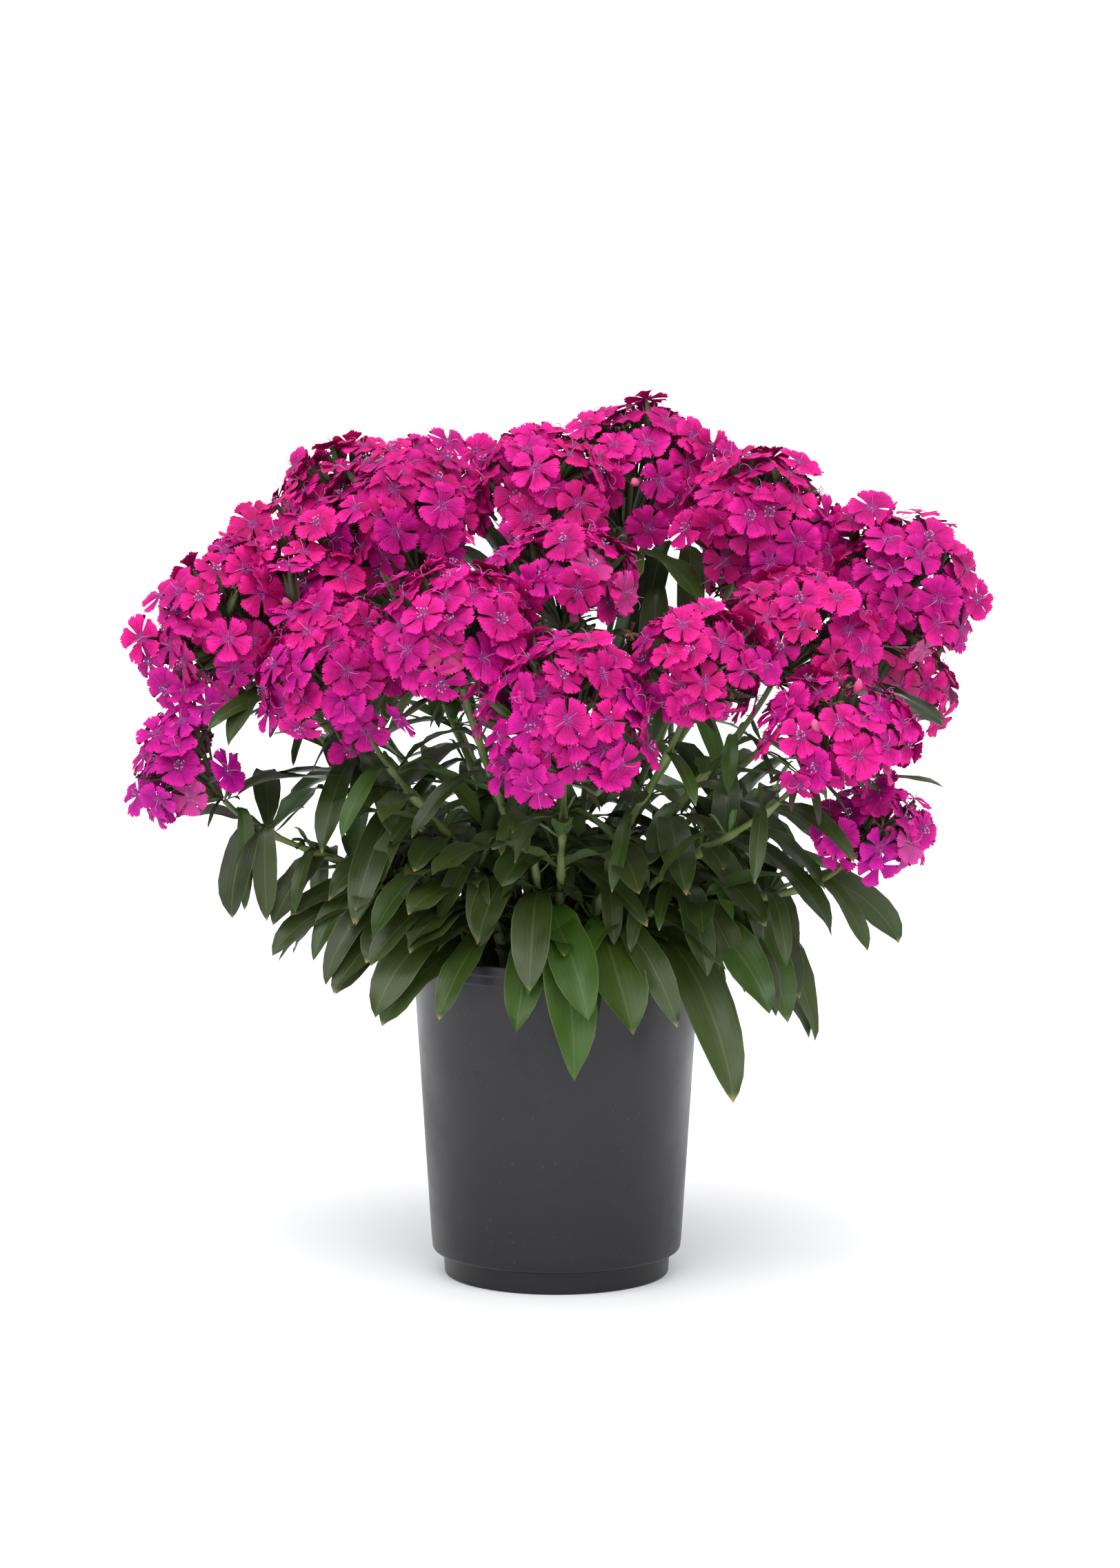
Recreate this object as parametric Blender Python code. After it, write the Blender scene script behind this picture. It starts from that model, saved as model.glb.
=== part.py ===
"""A dianthus plant with magenta flower heads in its black plastic grower pot.

Metres, +Z up. The origin is the centre of the pot's flat base, and -Y is the front of the plant.
"""

import math
import random

import bmesh
import bpy
from mathutils import Matrix, Vector
from mathutils.bvhtree import BVHTree

MM = 0.001
UP = Vector((0.0, 0.0, 1.0))
GAP = 0.3 * MM

# The pot: a tapered shell with a rolled lip and a foot that steps in
POT_HEIGHT = 190 * MM
LIP_RADIUS = 82.8 * MM
LIP_HEIGHT = 6 * MM
WALL_TOP_RADIUS = 81.6 * MM
WALL_FOOT_RADIUS = 71.6 * MM
WALL_FOOT_HEIGHT = 21.5 * MM
WALL = 1.6 * MM
FOOT_RADIUS = 64.8 * MM
FOOT_HEIGHT = 13 * MM
FLOOR = 2.4 * MM
POT_SIDES = 30
DRAIN_HOLES = 4
DRAIN_RADIUS = 4.5 * MM
DRAIN_CIRCLE = 48 * MM
DRAIN_SIDES = 6

# The soil fills the pot to a little below the lip
SOIL_TOP = 176 * MM
SOIL_SIDES = POT_SIDES // 2
SOIL_SLACK = 0.5 * MM
SOIL_SHOULDER = 3 * MM
SOIL_EDGE = 6 * MM
SOIL_RIPPLE = 1.5 * MM
HOLE_RADIUS = 3.7 * MM
HOLE_FLOOR = 150 * MM
HOLE_SIDES = 4
CROWN_SPREAD = 0.22
CROWN_LIMIT = 56 * MM
CROWN_SPACING = 10.5 * MM
CROWN_ROUNDS = 200

# Stems: round, thin, and straight where they stand in the soil
STEM_FOOT_RADIUS = 2.2 * MM
STEM_TOP_RADIUS = 1.6 * MM
STEM_SIDES = 5
STEM_STRAIGHT_TOP = 182 * MM
STEM_RISE = 0.34
STEM_ENTRY = 0.36
STEM_RING_SHARES = (0.0, 0.2, 0.42, 0.64)
SHOOT_LAST_RING = 0.86
STEM_CLEARANCE = 0.8 * MM
BEND_REACHES = (6 * MM, 12 * MM, 20 * MM)
BEND_WAYS = 8
CUP_RADIUS = 6.5 * MM
CUP_LENGTH = 13 * MM
HEAD_TILT = math.radians(40)
HEAD_TILT_REACH = 200 * MM
HEAD_TILT_LIMIT = 1.2

# Leaves: lance-shaped blades with a shallow channel, thickest at the midrib
BLADE_HALF_THICKNESS = 0.65 * MM
BLADE_STATIONS = ((0.16, 0.60), (0.42, 1.0), (0.74, 0.68))
SMALL_BLADE_STATIONS = ((0.25, 0.90), (0.65, 0.80))
BLADE_CHANNEL = 0.22
BLADE_TURN = 0.9
BLADE_TURN_LIMIT = -0.3
ROOT_SETBACK = 0.3 * MM
LEAF_CLEARANCE = 0.5 * MM

# A leaf's arch: how far it goes out and up from the stem and comes over to its tip, each
# for a level leaf and the change for one that hangs straight down
LEAF_OUT = (0.8, -0.2)
LEAF_UP = (0.35, 0.3)
LEAF_START = 0.42
LEAF_OVER = (0.3, 0.25)
LEAF_BACK = (0.34, -0.4)
LEAF_END = 0.5

# Florets: five-petalled, larger than life so that so few still cover a head
PETALS = 5
PETAL_HALF_ANGLE = math.radians(27)
PETAL_CLAW = 0.45
FLORET_DROP = 0.09
FLORET_THROAT = 3.4 * MM
FLORET_TUBE = 2.4 * MM
FLORET_TUBE_SIDES = 3
FLORET_ROOT = 0.25
FLORET_SETBACK = 2 * MM
FLORET_FILL = 0.9
FLORET_SINKS = (0.0, 0.08, 0.16, 0.24)
FLORET_SINK_SHRINK = 0.6
FLORET_CLEARANCE = 0.5 * MM
HEAD_SPREAD = math.radians(113)
CORE_SHARE = 0.72
CORE_SIDES = 5
CORE_RINGS = ((math.radians(50), 0.0), (math.radians(108), 0.5))
CORE_NECK = 0.8

# Each head: centre (x, y, z), half width, half height and number of florets, in millimetres
HEADS = {
    "far_left": (-180, -30, 381, 44, 51, 9),
    "left": (-122, -84, 357, 45, 45, 9),
    "upper_left": (-86, -18, 434, 49, 45, 9),
    "upper_left_back": (-118, 82, 435, 45, 37, 7),
    "top_left": (-9, -10, 450, 42, 38, 8),
    "top": (45, 72, 451, 48, 45, 9),
    "upper_right": (113, 0, 430, 45, 43, 9),
    "far_right": (196, -8, 389, 43, 51, 9),
    "middle": (4, -80, 407, 42, 35, 8),
    "middle_left": (-58, -124, 383, 45, 42, 9),
    "front": (5, -156, 340, 47, 51, 10),
    "front_right": (79, -142, 367, 37, 37, 8),
    "right": (134, -78, 376, 45, 39, 9),
    "low_right": (150, -150, 330, 46, 35, 8),
    "lowest_right": (175, -102, 272, 33, 25, 7),
    "low_left": (-205, -46, 300, 33, 38, 7),
    "back_left": (-92, 140, 386, 46, 39, 6),
    "back": (12, 162, 404, 48, 42, 6),
    "back_right": (124, 128, 388, 46, 41, 6),
    "low_back_left": (-168, 104, 336, 42, 36, 6),
    "low_back_right": (192, 98, 328, 42, 36, 6),
    "lowest_back_left": (-118, 184, 320, 42, 36, 6),
    "lowest_back": (-26, 208, 320, 44, 38, 6),
    "lowest_back_right": (76, 200, 324, 44, 38, 6),
}

# Each short shoot: where it stands and where it ends, in millimetres
SHOOTS = {
    "front": ((-6, -40), (-13, -62, 254)),
    "front_right": ((18, -38), (32, -66, 250)),
    "front_left": ((-30, -36), (-46, -60, 244)),
    "left": ((-46, -12), (-92, -36, 238)),
    "right_front": ((40, -26), (74, -56, 248)),
    "right": ((50, 2), (112, -22, 244)),
    "back_right": ((34, 36), (78, 84, 236)),
    "back": ((2, 50), (4, 104, 230)),
    "back_left": ((-34, 34), (-76, 82, 236)),
}

# Leaves placed one by one, mostly in front: share of the stem's length, tip (x, y, z) and width
LEAVES = {
    "shoot_front": (
        (0.50, (9, -103, 131), 28),
        (0.34, (-23, -104, 158), 21),
        (0.42, (18, -114, 167), 25),
        (0.62, (-15, -118, 184), 22),
        (0.95, (-30, -92, 238), 20),
        (0.92, (30, -112, 214), 18),
        (0.60, (-4, -8, 258), 17),
    ),
    "shoot_front_right": (
        (0.34, (41, -106, 157), 29),
        (0.42, (67, -100, 160), 17),
        (0.60, (80, -108, 190), 17),
        (0.95, (73, -101, 234), 24),
        (0.85, (38, -18, 262), 17),
    ),
    "shoot_front_left": (
        (0.95, (-84, -84, 242), 18),
        (0.80, (-82, -88, 221), 19),
        (0.58, (-81, -92, 200), 21),
        (0.30, (-66, -92, 163), 18),
        (0.92, (-43, -96, 206), 13),
        (0.16, (-98, -74, 156), 25),
        (0.62, (-22, -24, 262), 16),
    ),
    "shoot_left": (
        (0.95, (-112, -76, 222), 14),
        (0.60, (-106, -66, 190), 23),
        (0.42, (-124, -52, 170), 23),
        (0.66, (-158, -44, 190), 20),
        (0.80, (-148, -22, 212), 18),
        (0.90, (-92, 18, 258), 16),
    ),
    "shoot_right_front": (
        (0.95, (62, -104, 252), 16),
        (0.72, (72, -100, 176), 18),
        (0.50, (119, -90, 166), 24),
        (0.22, (98, -80, 114), 27),
        (0.88, (122, -74, 214), 18),
    ),
    "shoot_right": (
        (0.95, (114, -64, 212), 17),
        (0.66, (130, -64, 156), 23),
        (0.48, (136, -32, 166), 18),
        (0.28, (143, -36, 142), 20),
        (0.90, (168, -6, 226), 18),
        (0.80, (104, 34, 262), 17),
    ),
    "shoot_back_right": (
        (0.95, (122, 108, 208), 21),
        (0.62, (84, 136, 176), 23),
        (0.34, (116, 62, 166), 20),
        (0.80, (52, 112, 240), 17),
    ),
    "shoot_back": (
        (0.95, (-22, 142, 206), 21),
        (0.90, (38, 140, 210), 20),
        (0.52, (10, 142, 156), 25),
        (0.30, (-34, 112, 170), 20),
    ),
    "shoot_back_left": (
        (0.95, (-122, 104, 210), 20),
        (0.62, (-82, 136, 174), 23),
        (0.34, (-118, 58, 166), 20),
        (0.80, (-46, 112, 238), 17),
    ),
    "stem_low_left": (
        (0.84, (-182, -56, 214), 18),
        (0.84, (-214, -10, 262), 14),
        (0.62, (-159, -44, 208), 17),
        (0.45, (-139, -50, 186), 18),
        (0.62, (-140, 30, 226), 16),
    ),
    "stem_far_left": (
        (0.55, (-180, -56, 284), 17),
        (0.55, (-96, 14, 268), 15),
        (0.76, (-126, -62, 300), 14),
        (0.38, (-128, -66, 226), 18),
    ),
    "stem_left": (
        (0.42, (-112, -72, 214), 20),
        (0.42, (-56, -8, 256), 15),
        (0.70, (-96, -108, 276), 15),
        (0.72, (-134, -36, 268), 14),
    ),
    "stem_middle_left": (
        (0.40, (-78, -82, 244), 20),
        (0.62, (-88, -84, 300), 14),
        (0.66, (-28, -126, 292), 14),
    ),
    "stem_front": (
        (0.50, (-36, -108, 262), 15),
        (0.50, (40, -118, 256), 15),
        (0.78, (-24, -146, 276), 11),
    ),
    "stem_front_right": (
        (0.42, (86, -96, 238), 19),
        (0.66, (40, -122, 286), 15),
        (0.66, (96, -98, 290), 14),
    ),
    "stem_right": (
        (0.40, (134, -44, 232), 19),
        (0.68, (86, -66, 304), 14),
        (0.66, (148, -72, 286), 15),
    ),
    "stem_low_right": (
        (0.60, (152, -104, 212), 20),
        (0.58, (92, -112, 250), 15),
        (0.84, (168, -136, 260), 13),
    ),
    "stem_lowest_right": (
        (0.78, (190, -68, 202), 22),
        (0.52, (132, -94, 214), 18),
        (0.54, (142, -26, 246), 16),
    ),
    "stem_top": (
        (0.32, (76, 8, 236), 20),
        (0.32, (-42, 62, 228), 20),
        (0.56, (46, -22, 292), 16),
        (0.56, (2, 94, 288), 16),
    ),
    "stem_far_right": (
        (0.82, (219, 0, 314), 16),
        (0.78, (150, -44, 304), 14),
        (0.46, (146, -44, 258), 18),
        (0.46, (128, 24, 234), 18),
    ),
}

# Leaf pairs by rule on the other stems: share of the stem's length, leaf length and width
STEM_PAIRS = (
    (0.32, 74 * MM, 20 * MM),
    (0.56, 62 * MM, 16 * MM),
)
PAIR_DROOP = (-1.1, -0.3)
PAIR_STRETCH = (0.85, 1.15)
PAIR_SWAY = 0.3
SMALL_LEAF = 76 * MM

# Places to try, one after the other, for a leaf that would meet the rest of the plant
LEAF_TURNS = (0, 1, -1, 2, -2, 3, -3)
LEAF_TURN_STEP = math.radians(14)
LEAF_LIFTS = (0, 1, -1, 2)
LEAF_LIFT_STEP = 7 * MM
LEAF_SCALES = (1.0, 0.75, 0.5)
SEED = 41

# Edges sharper than this stay crisp
SHARP_EDGE = math.radians(30)


def material(name, color, roughness):
    made = bpy.data.materials.new(name)
    made.use_nodes = True
    shader = made.node_tree.nodes["Principled BSDF"]
    shader.inputs["Base Color"].default_value = (*color, 1.0)
    shader.inputs["Roughness"].default_value = roughness
    made.diffuse_color = (*color, 1.0)
    return made


def add_mesh(name, points, faces):
    mesh = bpy.data.meshes.new(name)
    mesh.from_pydata([tuple(p) for p in points], [], faces)
    piece = bpy.data.objects.new(name, mesh)
    bpy.context.scene.collection.objects.link(piece)
    return piece


def join_pieces(name, shapes, finish):
    """One closed solid from overlapping closed shapes, each a pair of points and faces."""
    joined = add_mesh(name, *shapes[0])
    others = bpy.data.collections.new(name + "_parts")
    bpy.context.scene.collection.children.link(others)
    for number, (points, faces) in enumerate(shapes[1:]):
        piece = add_mesh(f"{name}_part_{number}", points, faces)
        bpy.context.scene.collection.objects.unlink(piece)
        others.objects.link(piece)
    union = joined.modifiers.new("join", "BOOLEAN")
    union.operation = "UNION"
    union.operand_type = "COLLECTION"
    union.collection = others
    union.solver = "MANIFOLD"
    bpy.context.view_layer.objects.active = joined
    bpy.ops.object.modifier_apply(modifier="join")
    for piece in list(others.objects):
        bpy.data.objects.remove(piece)
    bpy.data.collections.remove(others)
    joined.data.materials.clear()
    joined.data.materials.append(finish)
    joined.data.shade_smooth()
    joined.data.set_sharp_from_angle(angle=SHARP_EDGE)


def blocker(points, faces):
    return BVHTree.FromPolygons([Vector(p) for p in points], faces)


def is_clear(shape, blockers):
    test = blocker(*shape)
    return not any(test.overlap(other) for other in blockers)


# The pot

def wall_radius(z):
    """The pot's outer radius at height z, above the foot."""
    share = (z - WALL_FOOT_HEIGHT) / (POT_HEIGHT - LIP_HEIGHT - WALL_FOOT_HEIGHT)
    return WALL_FOOT_RADIUS + share * (WALL_TOP_RADIUS - WALL_FOOT_RADIUS)


def turned(profile, sides):
    """A closed solid turned from a profile that starts and ends on the Z axis."""
    points = [(0.0, 0.0, profile[0][1])]
    for radius, z in profile[1:-1]:
        for side in range(sides):
            turn = math.tau * side / sides
            points.append((radius * math.cos(turn), radius * math.sin(turn), z))
    points.append((0.0, 0.0, profile[-1][1]))
    rings = len(profile) - 2
    faces = []
    for side in range(sides):
        after = (side + 1) % sides
        faces.append((0, 1 + after, 1 + side))
        for ring in range(rings - 1):
            low = 1 + ring * sides
            high = low + sides
            faces.append((low + side, low + after, high + after, high + side))
        last = 1 + (rings - 1) * sides
        faces.append((last + side, last + after, len(points) - 1))
    return points, faces


def make_pot(finish):
    neck = POT_HEIGHT - LIP_HEIGHT
    foot_inside = FOOT_RADIUS - WALL
    profile = [
        (0.0, 0.0),
        (FOOT_RADIUS - 0.8 * MM, 0.0),
        (FOOT_RADIUS, FOOT_HEIGHT),
        (WALL_FOOT_RADIUS - 3.2 * MM, FOOT_HEIGHT),
        (WALL_FOOT_RADIUS - 0.7 * MM, FOOT_HEIGHT + 1.6 * MM),
        (WALL_FOOT_RADIUS, WALL_FOOT_HEIGHT),
        (WALL_TOP_RADIUS, neck),
        (LIP_RADIUS, neck + 0.6 * MM),
        (LIP_RADIUS, POT_HEIGHT),
        (WALL_TOP_RADIUS - WALL, POT_HEIGHT),
        (WALL_FOOT_RADIUS - WALL, WALL_FOOT_HEIGHT),
        (foot_inside, FOOT_HEIGHT + 1.8 * MM),
        (foot_inside - 0.8 * MM, FLOOR),
        (0.0, FLOOR),
    ]
    points, faces = turned(profile, POT_SIDES)
    pot = add_mesh("pot", points, faces)
    pot.data.materials.append(finish)
    cutter_mesh = bpy.data.meshes.new("drain_cutters")
    cutters = bpy.data.objects.new("drain_cutters", cutter_mesh)
    bpy.context.scene.collection.objects.link(cutters)
    shape = bmesh.new()
    for number in range(DRAIN_HOLES):
        turn = math.tau * (number + 0.5) / DRAIN_HOLES
        place = Vector((DRAIN_CIRCLE * math.cos(turn), DRAIN_CIRCLE * math.sin(turn), 0.0))
        bmesh.ops.create_cone(
            shape, cap_ends=True, segments=DRAIN_SIDES, radius1=DRAIN_RADIUS,
            radius2=DRAIN_RADIUS, depth=6 * FLOOR, matrix=Matrix.Translation(place),
        )
    shape.to_mesh(cutter_mesh)
    shape.free()
    cut = pot.modifiers.new("drains", "BOOLEAN")
    cut.operation = "DIFFERENCE"
    cut.object = cutters
    cut.solver = "EXACT"
    bpy.context.view_layer.objects.active = pot
    bpy.ops.object.modifier_apply(modifier="drains")
    bpy.data.objects.remove(cutters)
    pot.data.shade_smooth()
    pot.data.set_sharp_from_angle(angle=SHARP_EDGE)
    return points, faces


# Where the stems stand in the soil

def crown_places():
    """A place in the soil for each stem and shoot, on the side it leans to, spaced apart."""
    places = {}
    for name, (x, y, *_) in HEADS.items():
        places["stem_" + name] = Vector((x, y)) * MM * CROWN_SPREAD
    for name, (foot, _) in SHOOTS.items():
        places["shoot_" + name] = Vector(foot) * MM
    names = list(places)
    for _ in range(CROWN_ROUNDS):
        for first in names:
            for second in names:
                if first >= second:
                    continue
                apart = places[second] - places[first]
                short = CROWN_SPACING - apart.length
                if short > 0:
                    push = apart.normalized() * short * 0.5
                    places[first] = places[first] - push
                    places[second] = places[second] + push
        for name in names:
            if places[name].length > CROWN_LIMIT:
                places[name] = places[name].normalized() * CROWN_LIMIT
    return places


# Stems

def bezier(points, share):
    a, b, c, d = points
    rest = 1.0 - share
    return a * rest**3 + b * 3 * rest**2 * share + c * 3 * rest * share**2 + d * share**3


def head_axis(name):
    """The way a head's stem points where it enters the head: up, and out from the plant."""
    x, y = HEADS[name][0] * MM, HEADS[name][1] * MM
    out = Vector((x, y, 0.0))
    tilt = HEAD_TILT * min(HEAD_TILT_LIMIT, out.length / HEAD_TILT_REACH)
    return out.normalized() * math.sin(tilt) + UP * math.cos(tilt)


def head_neck(name):
    """The middle of the flat underside of a head's core."""
    x, y, z, half_width, half_height, _ = HEADS[name]
    reach = 0.5 * (half_width + half_height) * MM
    return Vector((x, y, z)) * MM - head_axis(name) * reach * CORE_NECK


def stem_route(foot, end, end_way, bend):
    """Four control points of a stem above the soil. bend moves its middle sideways."""
    start = Vector((foot.x, foot.y, STEM_STRAIGHT_TOP))
    length = (end - start).length
    first = start + UP * length * STEM_RISE + bend
    second = end - end_way * length * STEM_ENTRY
    return start, first, second, end


def tube(centers, radii, sides, end_way):
    """A closed tube through centers, with rings square to its route and its end to end_way."""
    points = []
    side = Vector((1.0, 0.0, 0.0))
    for number, center in enumerate(centers):
        before = centers[max(0, number - 1)]
        after = centers[min(len(centers) - 1, number + 1)]
        way = end_way if after == center else (after - before).normalized()
        side = (side - way * side.dot(way)).normalized()
        other = way.cross(side)
        for step in range(sides):
            turn = math.tau * step / sides
            around = side * math.cos(turn) + other * math.sin(turn)
            points.append(center + around * radii[number])
    faces = []
    for ring in range(len(centers) - 1):
        for step in range(sides):
            low = ring * sides
            after = (step + 1) % sides
            faces.append((low + step, low + after, low + sides + after, low + sides + step))
    faces.append(tuple(reversed(range(sides))))
    faces.append(tuple(range((len(centers) - 1) * sides, len(centers) * sides)))
    return points, faces


def ring_shares(route, cup):
    """The shares of a stem's route where its rings are, the last one where a cup starts."""
    length = (route[3] - route[0]).length
    last = 1.0 - CUP_LENGTH / length if cup else SHOOT_LAST_RING
    return [*STEM_RING_SHARES, last]


def stem_point(route, cup, share):
    """The middle of the stem's many-sided tube at a share of its route."""
    shares = ring_shares(route, cup) + [1.0]
    for low, high in zip(shares, shares[1:]):
        if share <= high:
            part = (share - low) / (high - low)
            return bezier(route, low).lerp(bezier(route, high), part)


def stem_shape(foot, route, cup, extra=0.0):
    """A stem from the floor of its hole to the end of its route, with a cup under a head."""
    centers = [Vector((foot.x, foot.y, HOLE_FLOOR + GAP - extra))]
    centers += [bezier(route, share) for share in ring_shares(route, cup)]
    end_way = (route[3] - route[2]).normalized()
    centers.append(route[3] + end_way * extra)
    slope = (STEM_TOP_RADIUS - STEM_FOOT_RADIUS) / (len(centers) - 1)
    radii = [STEM_FOOT_RADIUS + slope * number + extra for number in range(len(centers))]
    if cup:
        radii[-1] = CUP_RADIUS + extra
    return tube(centers, radii, STEM_SIDES, end_way)


def stem_bends():
    yield Vector((0.0, 0.0, 0.0))
    for reach in BEND_REACHES:
        for step in range(BEND_WAYS):
            turn = math.tau * step / BEND_WAYS
            yield Vector((math.cos(turn), math.sin(turn), 0.0)) * reach


def clear_route(name, foot, blockers):
    """The first route of a stem or shoot that clears the rest of the plant."""
    cup = name.startswith("stem_")
    if cup:
        head = name.removeprefix("stem_")
        end_way = head_axis(head)
        end = head_neck(head) - end_way * GAP
    else:
        end = Vector(SHOOTS[name.removeprefix("shoot_")][1]) * MM
        end_way = (end - Vector((foot.x, foot.y, STEM_STRAIGHT_TOP))).normalized()
    for bend in stem_bends():
        route = stem_route(foot, end, end_way, bend)
        if is_clear(stem_shape(foot, route, cup, STEM_CLEARANCE), blockers):
            return route
    print("no clear route for", name)
    return stem_route(foot, end, end_way, Vector((0.0, 0.0, 0.0)))


# Leaves

def with_drop(pair, drop):
    return pair[0] + pair[1] * drop


def leaf_spine(base, tip):
    """Four control points: up and out from the stem, then over and down to the tip."""
    across = tip - base
    flat = Vector((across.x, across.y, 0.0))
    out = flat.normalized()
    length = across.length
    drop = max(0.0, -across.z / length)
    leave = out * with_drop(LEAF_OUT, drop) + UP * with_drop(LEAF_UP, drop)
    arrive = UP * with_drop(LEAF_OVER, drop) - out * with_drop(LEAF_BACK, drop)
    first = base + leave * length * LEAF_START
    second = tip + arrive * length * LEAF_END
    return (base, first, second, tip), out


def leaf_shape(base, tip, width, stations, extra=0.0):
    """A closed blade with a diamond section that narrows to its base and to a pointed tip.

    Its upper and lower sides are split into triangles alike, from the edge to the midrib.
    """
    spine, out = leaf_spine(base, tip)
    front = Vector((0.0, math.copysign(1.0, tip.y), 0.0))
    turned_out = out + front * BLADE_TURN if out.dot(front) > BLADE_TURN_LIMIT else out
    level = UP.cross(turned_out).normalized()
    half = 0.5 * width + extra
    thick = BLADE_HALF_THICKNESS + extra
    points = []
    for share, part in stations:
        center = bezier(spine, share)
        ahead = bezier(spine, share + 0.02)
        way = (ahead - center).normalized()
        side = (level - way * level.dot(way)).normalized()
        face = way.cross(side)
        lift = face * half * part * BLADE_CHANNEL
        points.append(center - side * half * part + lift)
        points.append(center - face * thick)
        points.append(center + side * half * part + lift)
        points.append(center + face * thick)
    points += [base + (spine[1] - base).normalized() * ROOT_SETBACK, tip]
    faces = []
    for ring in range(len(stations) - 1):
        for step in range(4):
            low = ring * 4
            after = (step + 1) % 4
            corners = (low + step, low + after, low + 4 + after, low + 4 + step)
            faces.append(corners[step % 2:] + corners[:step % 2])
    last = 4 * (len(stations) - 1)
    for step in range(4):
        after = (step + 1) % 4
        faces.append((after, step, len(points) - 2))
        faces.append((last + step, last + after, len(points) - 1))
    return points, triangles(faces)


def triangles(faces):
    """A fan of triangles for each face, from its first corner."""
    split = []
    for face in faces:
        for number in range(1, len(face) - 1):
            split.append((face[0], face[number], face[number + 1]))
    return split


def leaf_tips(base, tip):
    """The tip first, then tips turned about the stem, lifted and drawn in, to try in turn."""
    for scale in LEAF_SCALES:
        for lift in LEAF_LIFTS:
            for turn in LEAF_TURNS:
                spin = Matrix.Rotation(turn * LEAF_TURN_STEP, 3, "Z")
                moved = base + spin @ (tip - base) * scale
                yield moved + UP * lift * LEAF_LIFT_STEP


def leaves_of(name, route):
    """The base, tip and width of each leaf of a stem, placed one by one or by rule."""
    cup = name.startswith("stem_")
    if name in LEAVES:
        return [(stem_point(route, cup, share), Vector(tip) * MM, width * MM)
                for share, tip, width in LEAVES[name]]
    draw = random.Random(f"{SEED}_{name}")
    start_turn = draw.uniform(0, math.tau)
    leaves = []
    for number, (share, length, width) in enumerate(STEM_PAIRS):
        base = stem_point(route, cup, share)
        stretch = draw.uniform(*PAIR_STRETCH)
        for half in (0, 1):
            sway = draw.uniform(-PAIR_SWAY, PAIR_SWAY)
            turn = start_turn + number * math.pi / 2 + half * math.pi + sway
            way = Vector((math.cos(turn), math.sin(turn), draw.uniform(*PAIR_DROOP)))
            leaves.append((base, base + way.normalized() * length * stretch, width * stretch))
    return leaves


def grow_leaves(leaves, blockers):
    """Each leaf's shape at its first tip that clears the rest of the plant."""
    grown = []
    for base, tip, width in leaves:
        small = (tip - base).length < SMALL_LEAF
        stations = SMALL_BLADE_STATIONS if small else BLADE_STATIONS
        for moved in leaf_tips(base, tip):
            if is_clear(leaf_shape(base, moved, width, stations, LEAF_CLEARANCE), blockers):
                grown.append(leaf_shape(base, moved, width, stations))
                break
    return grown


# Flower heads

def floret_ways(name):
    """Evenly spread outward directions over a head, with none round its stem."""
    axis = head_axis(name)
    count = HEADS[name][5]
    turn = axis.to_track_quat("Z", "Y").to_matrix()
    golden = math.pi * (3.0 - math.sqrt(5.0))
    for number in range(count):
        height = 1.0 - (number + 0.5) / count * (1.0 - math.cos(HEAD_SPREAD))
        flat = math.sqrt(1.0 - height * height)
        spin = number * golden
        yield turn @ Vector((flat * math.cos(spin), flat * math.sin(spin), height))


def head_sizes(name):
    x, y, z, half_width, half_height, count = HEADS[name]
    center = Vector((x, y, z)) * MM
    reach = Vector((half_width, half_width, half_height)) * MM
    mean = (half_width * 2 + half_height) / 3 * MM - FLORET_SETBACK
    cap = math.tau * mean**2 * (1.0 - math.cos(HEAD_SPREAD))
    floret_radius = FLORET_FILL * math.sqrt(cap / count / (2 * math.sqrt(3)))
    return center, reach, floret_radius


def floret_shape(center, middle, way, radius, extra=0.0):
    """A five-petalled floret that faces way, on a tube that narrows into the head's core."""
    turn = way.to_track_quat("Z", "Y").to_matrix()
    outline = []
    for petal in range(PETALS):
        mid = math.tau * petal / PETALS
        for angle, part in (
            (mid - PETAL_HALF_ANGLE, 1.0),
            (mid + PETAL_HALF_ANGLE, 1.0),
            (mid + math.pi / PETALS, PETAL_CLAW),
        ):
            reach = radius * part + extra
            drop = -FLORET_DROP * radius * part**2
            outline.append(Vector((reach * math.cos(angle), reach * math.sin(angle), drop)))
    count = len(outline)
    step = count // FLORET_TUBE_SIDES
    points = [middle + turn @ p for p in outline]
    points.append(middle + turn @ Vector((0.0, 0.0, extra)))
    for number in range(FLORET_TUBE_SIDES):
        angle = math.tau * (number + 0.5) * step / count - PETAL_HALF_ANGLE
        around = Vector((math.cos(angle), math.sin(angle), 0.0)) * (FLORET_TUBE + extra)
        points.append(middle + turn @ (around - UP * (FLORET_THROAT + extra)))
    points.append(center + (middle - center) * FLORET_ROOT)
    top, tube_ring = count, count + 1
    root = tube_ring + FLORET_TUBE_SIDES
    faces = []
    for number in range(count):
        after = (number + 1) % count
        faces.append((number, after, top))
        faces.append((after, number, tube_ring + number // step))
    for number in range(FLORET_TUBE_SIDES):
        after = (number + 1) % FLORET_TUBE_SIDES
        edge = (number * step + step) % count
        faces.append((edge, tube_ring + number, tube_ring + after))
        faces.append((tube_ring + after, tube_ring + number, root))
    return points, faces


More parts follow.
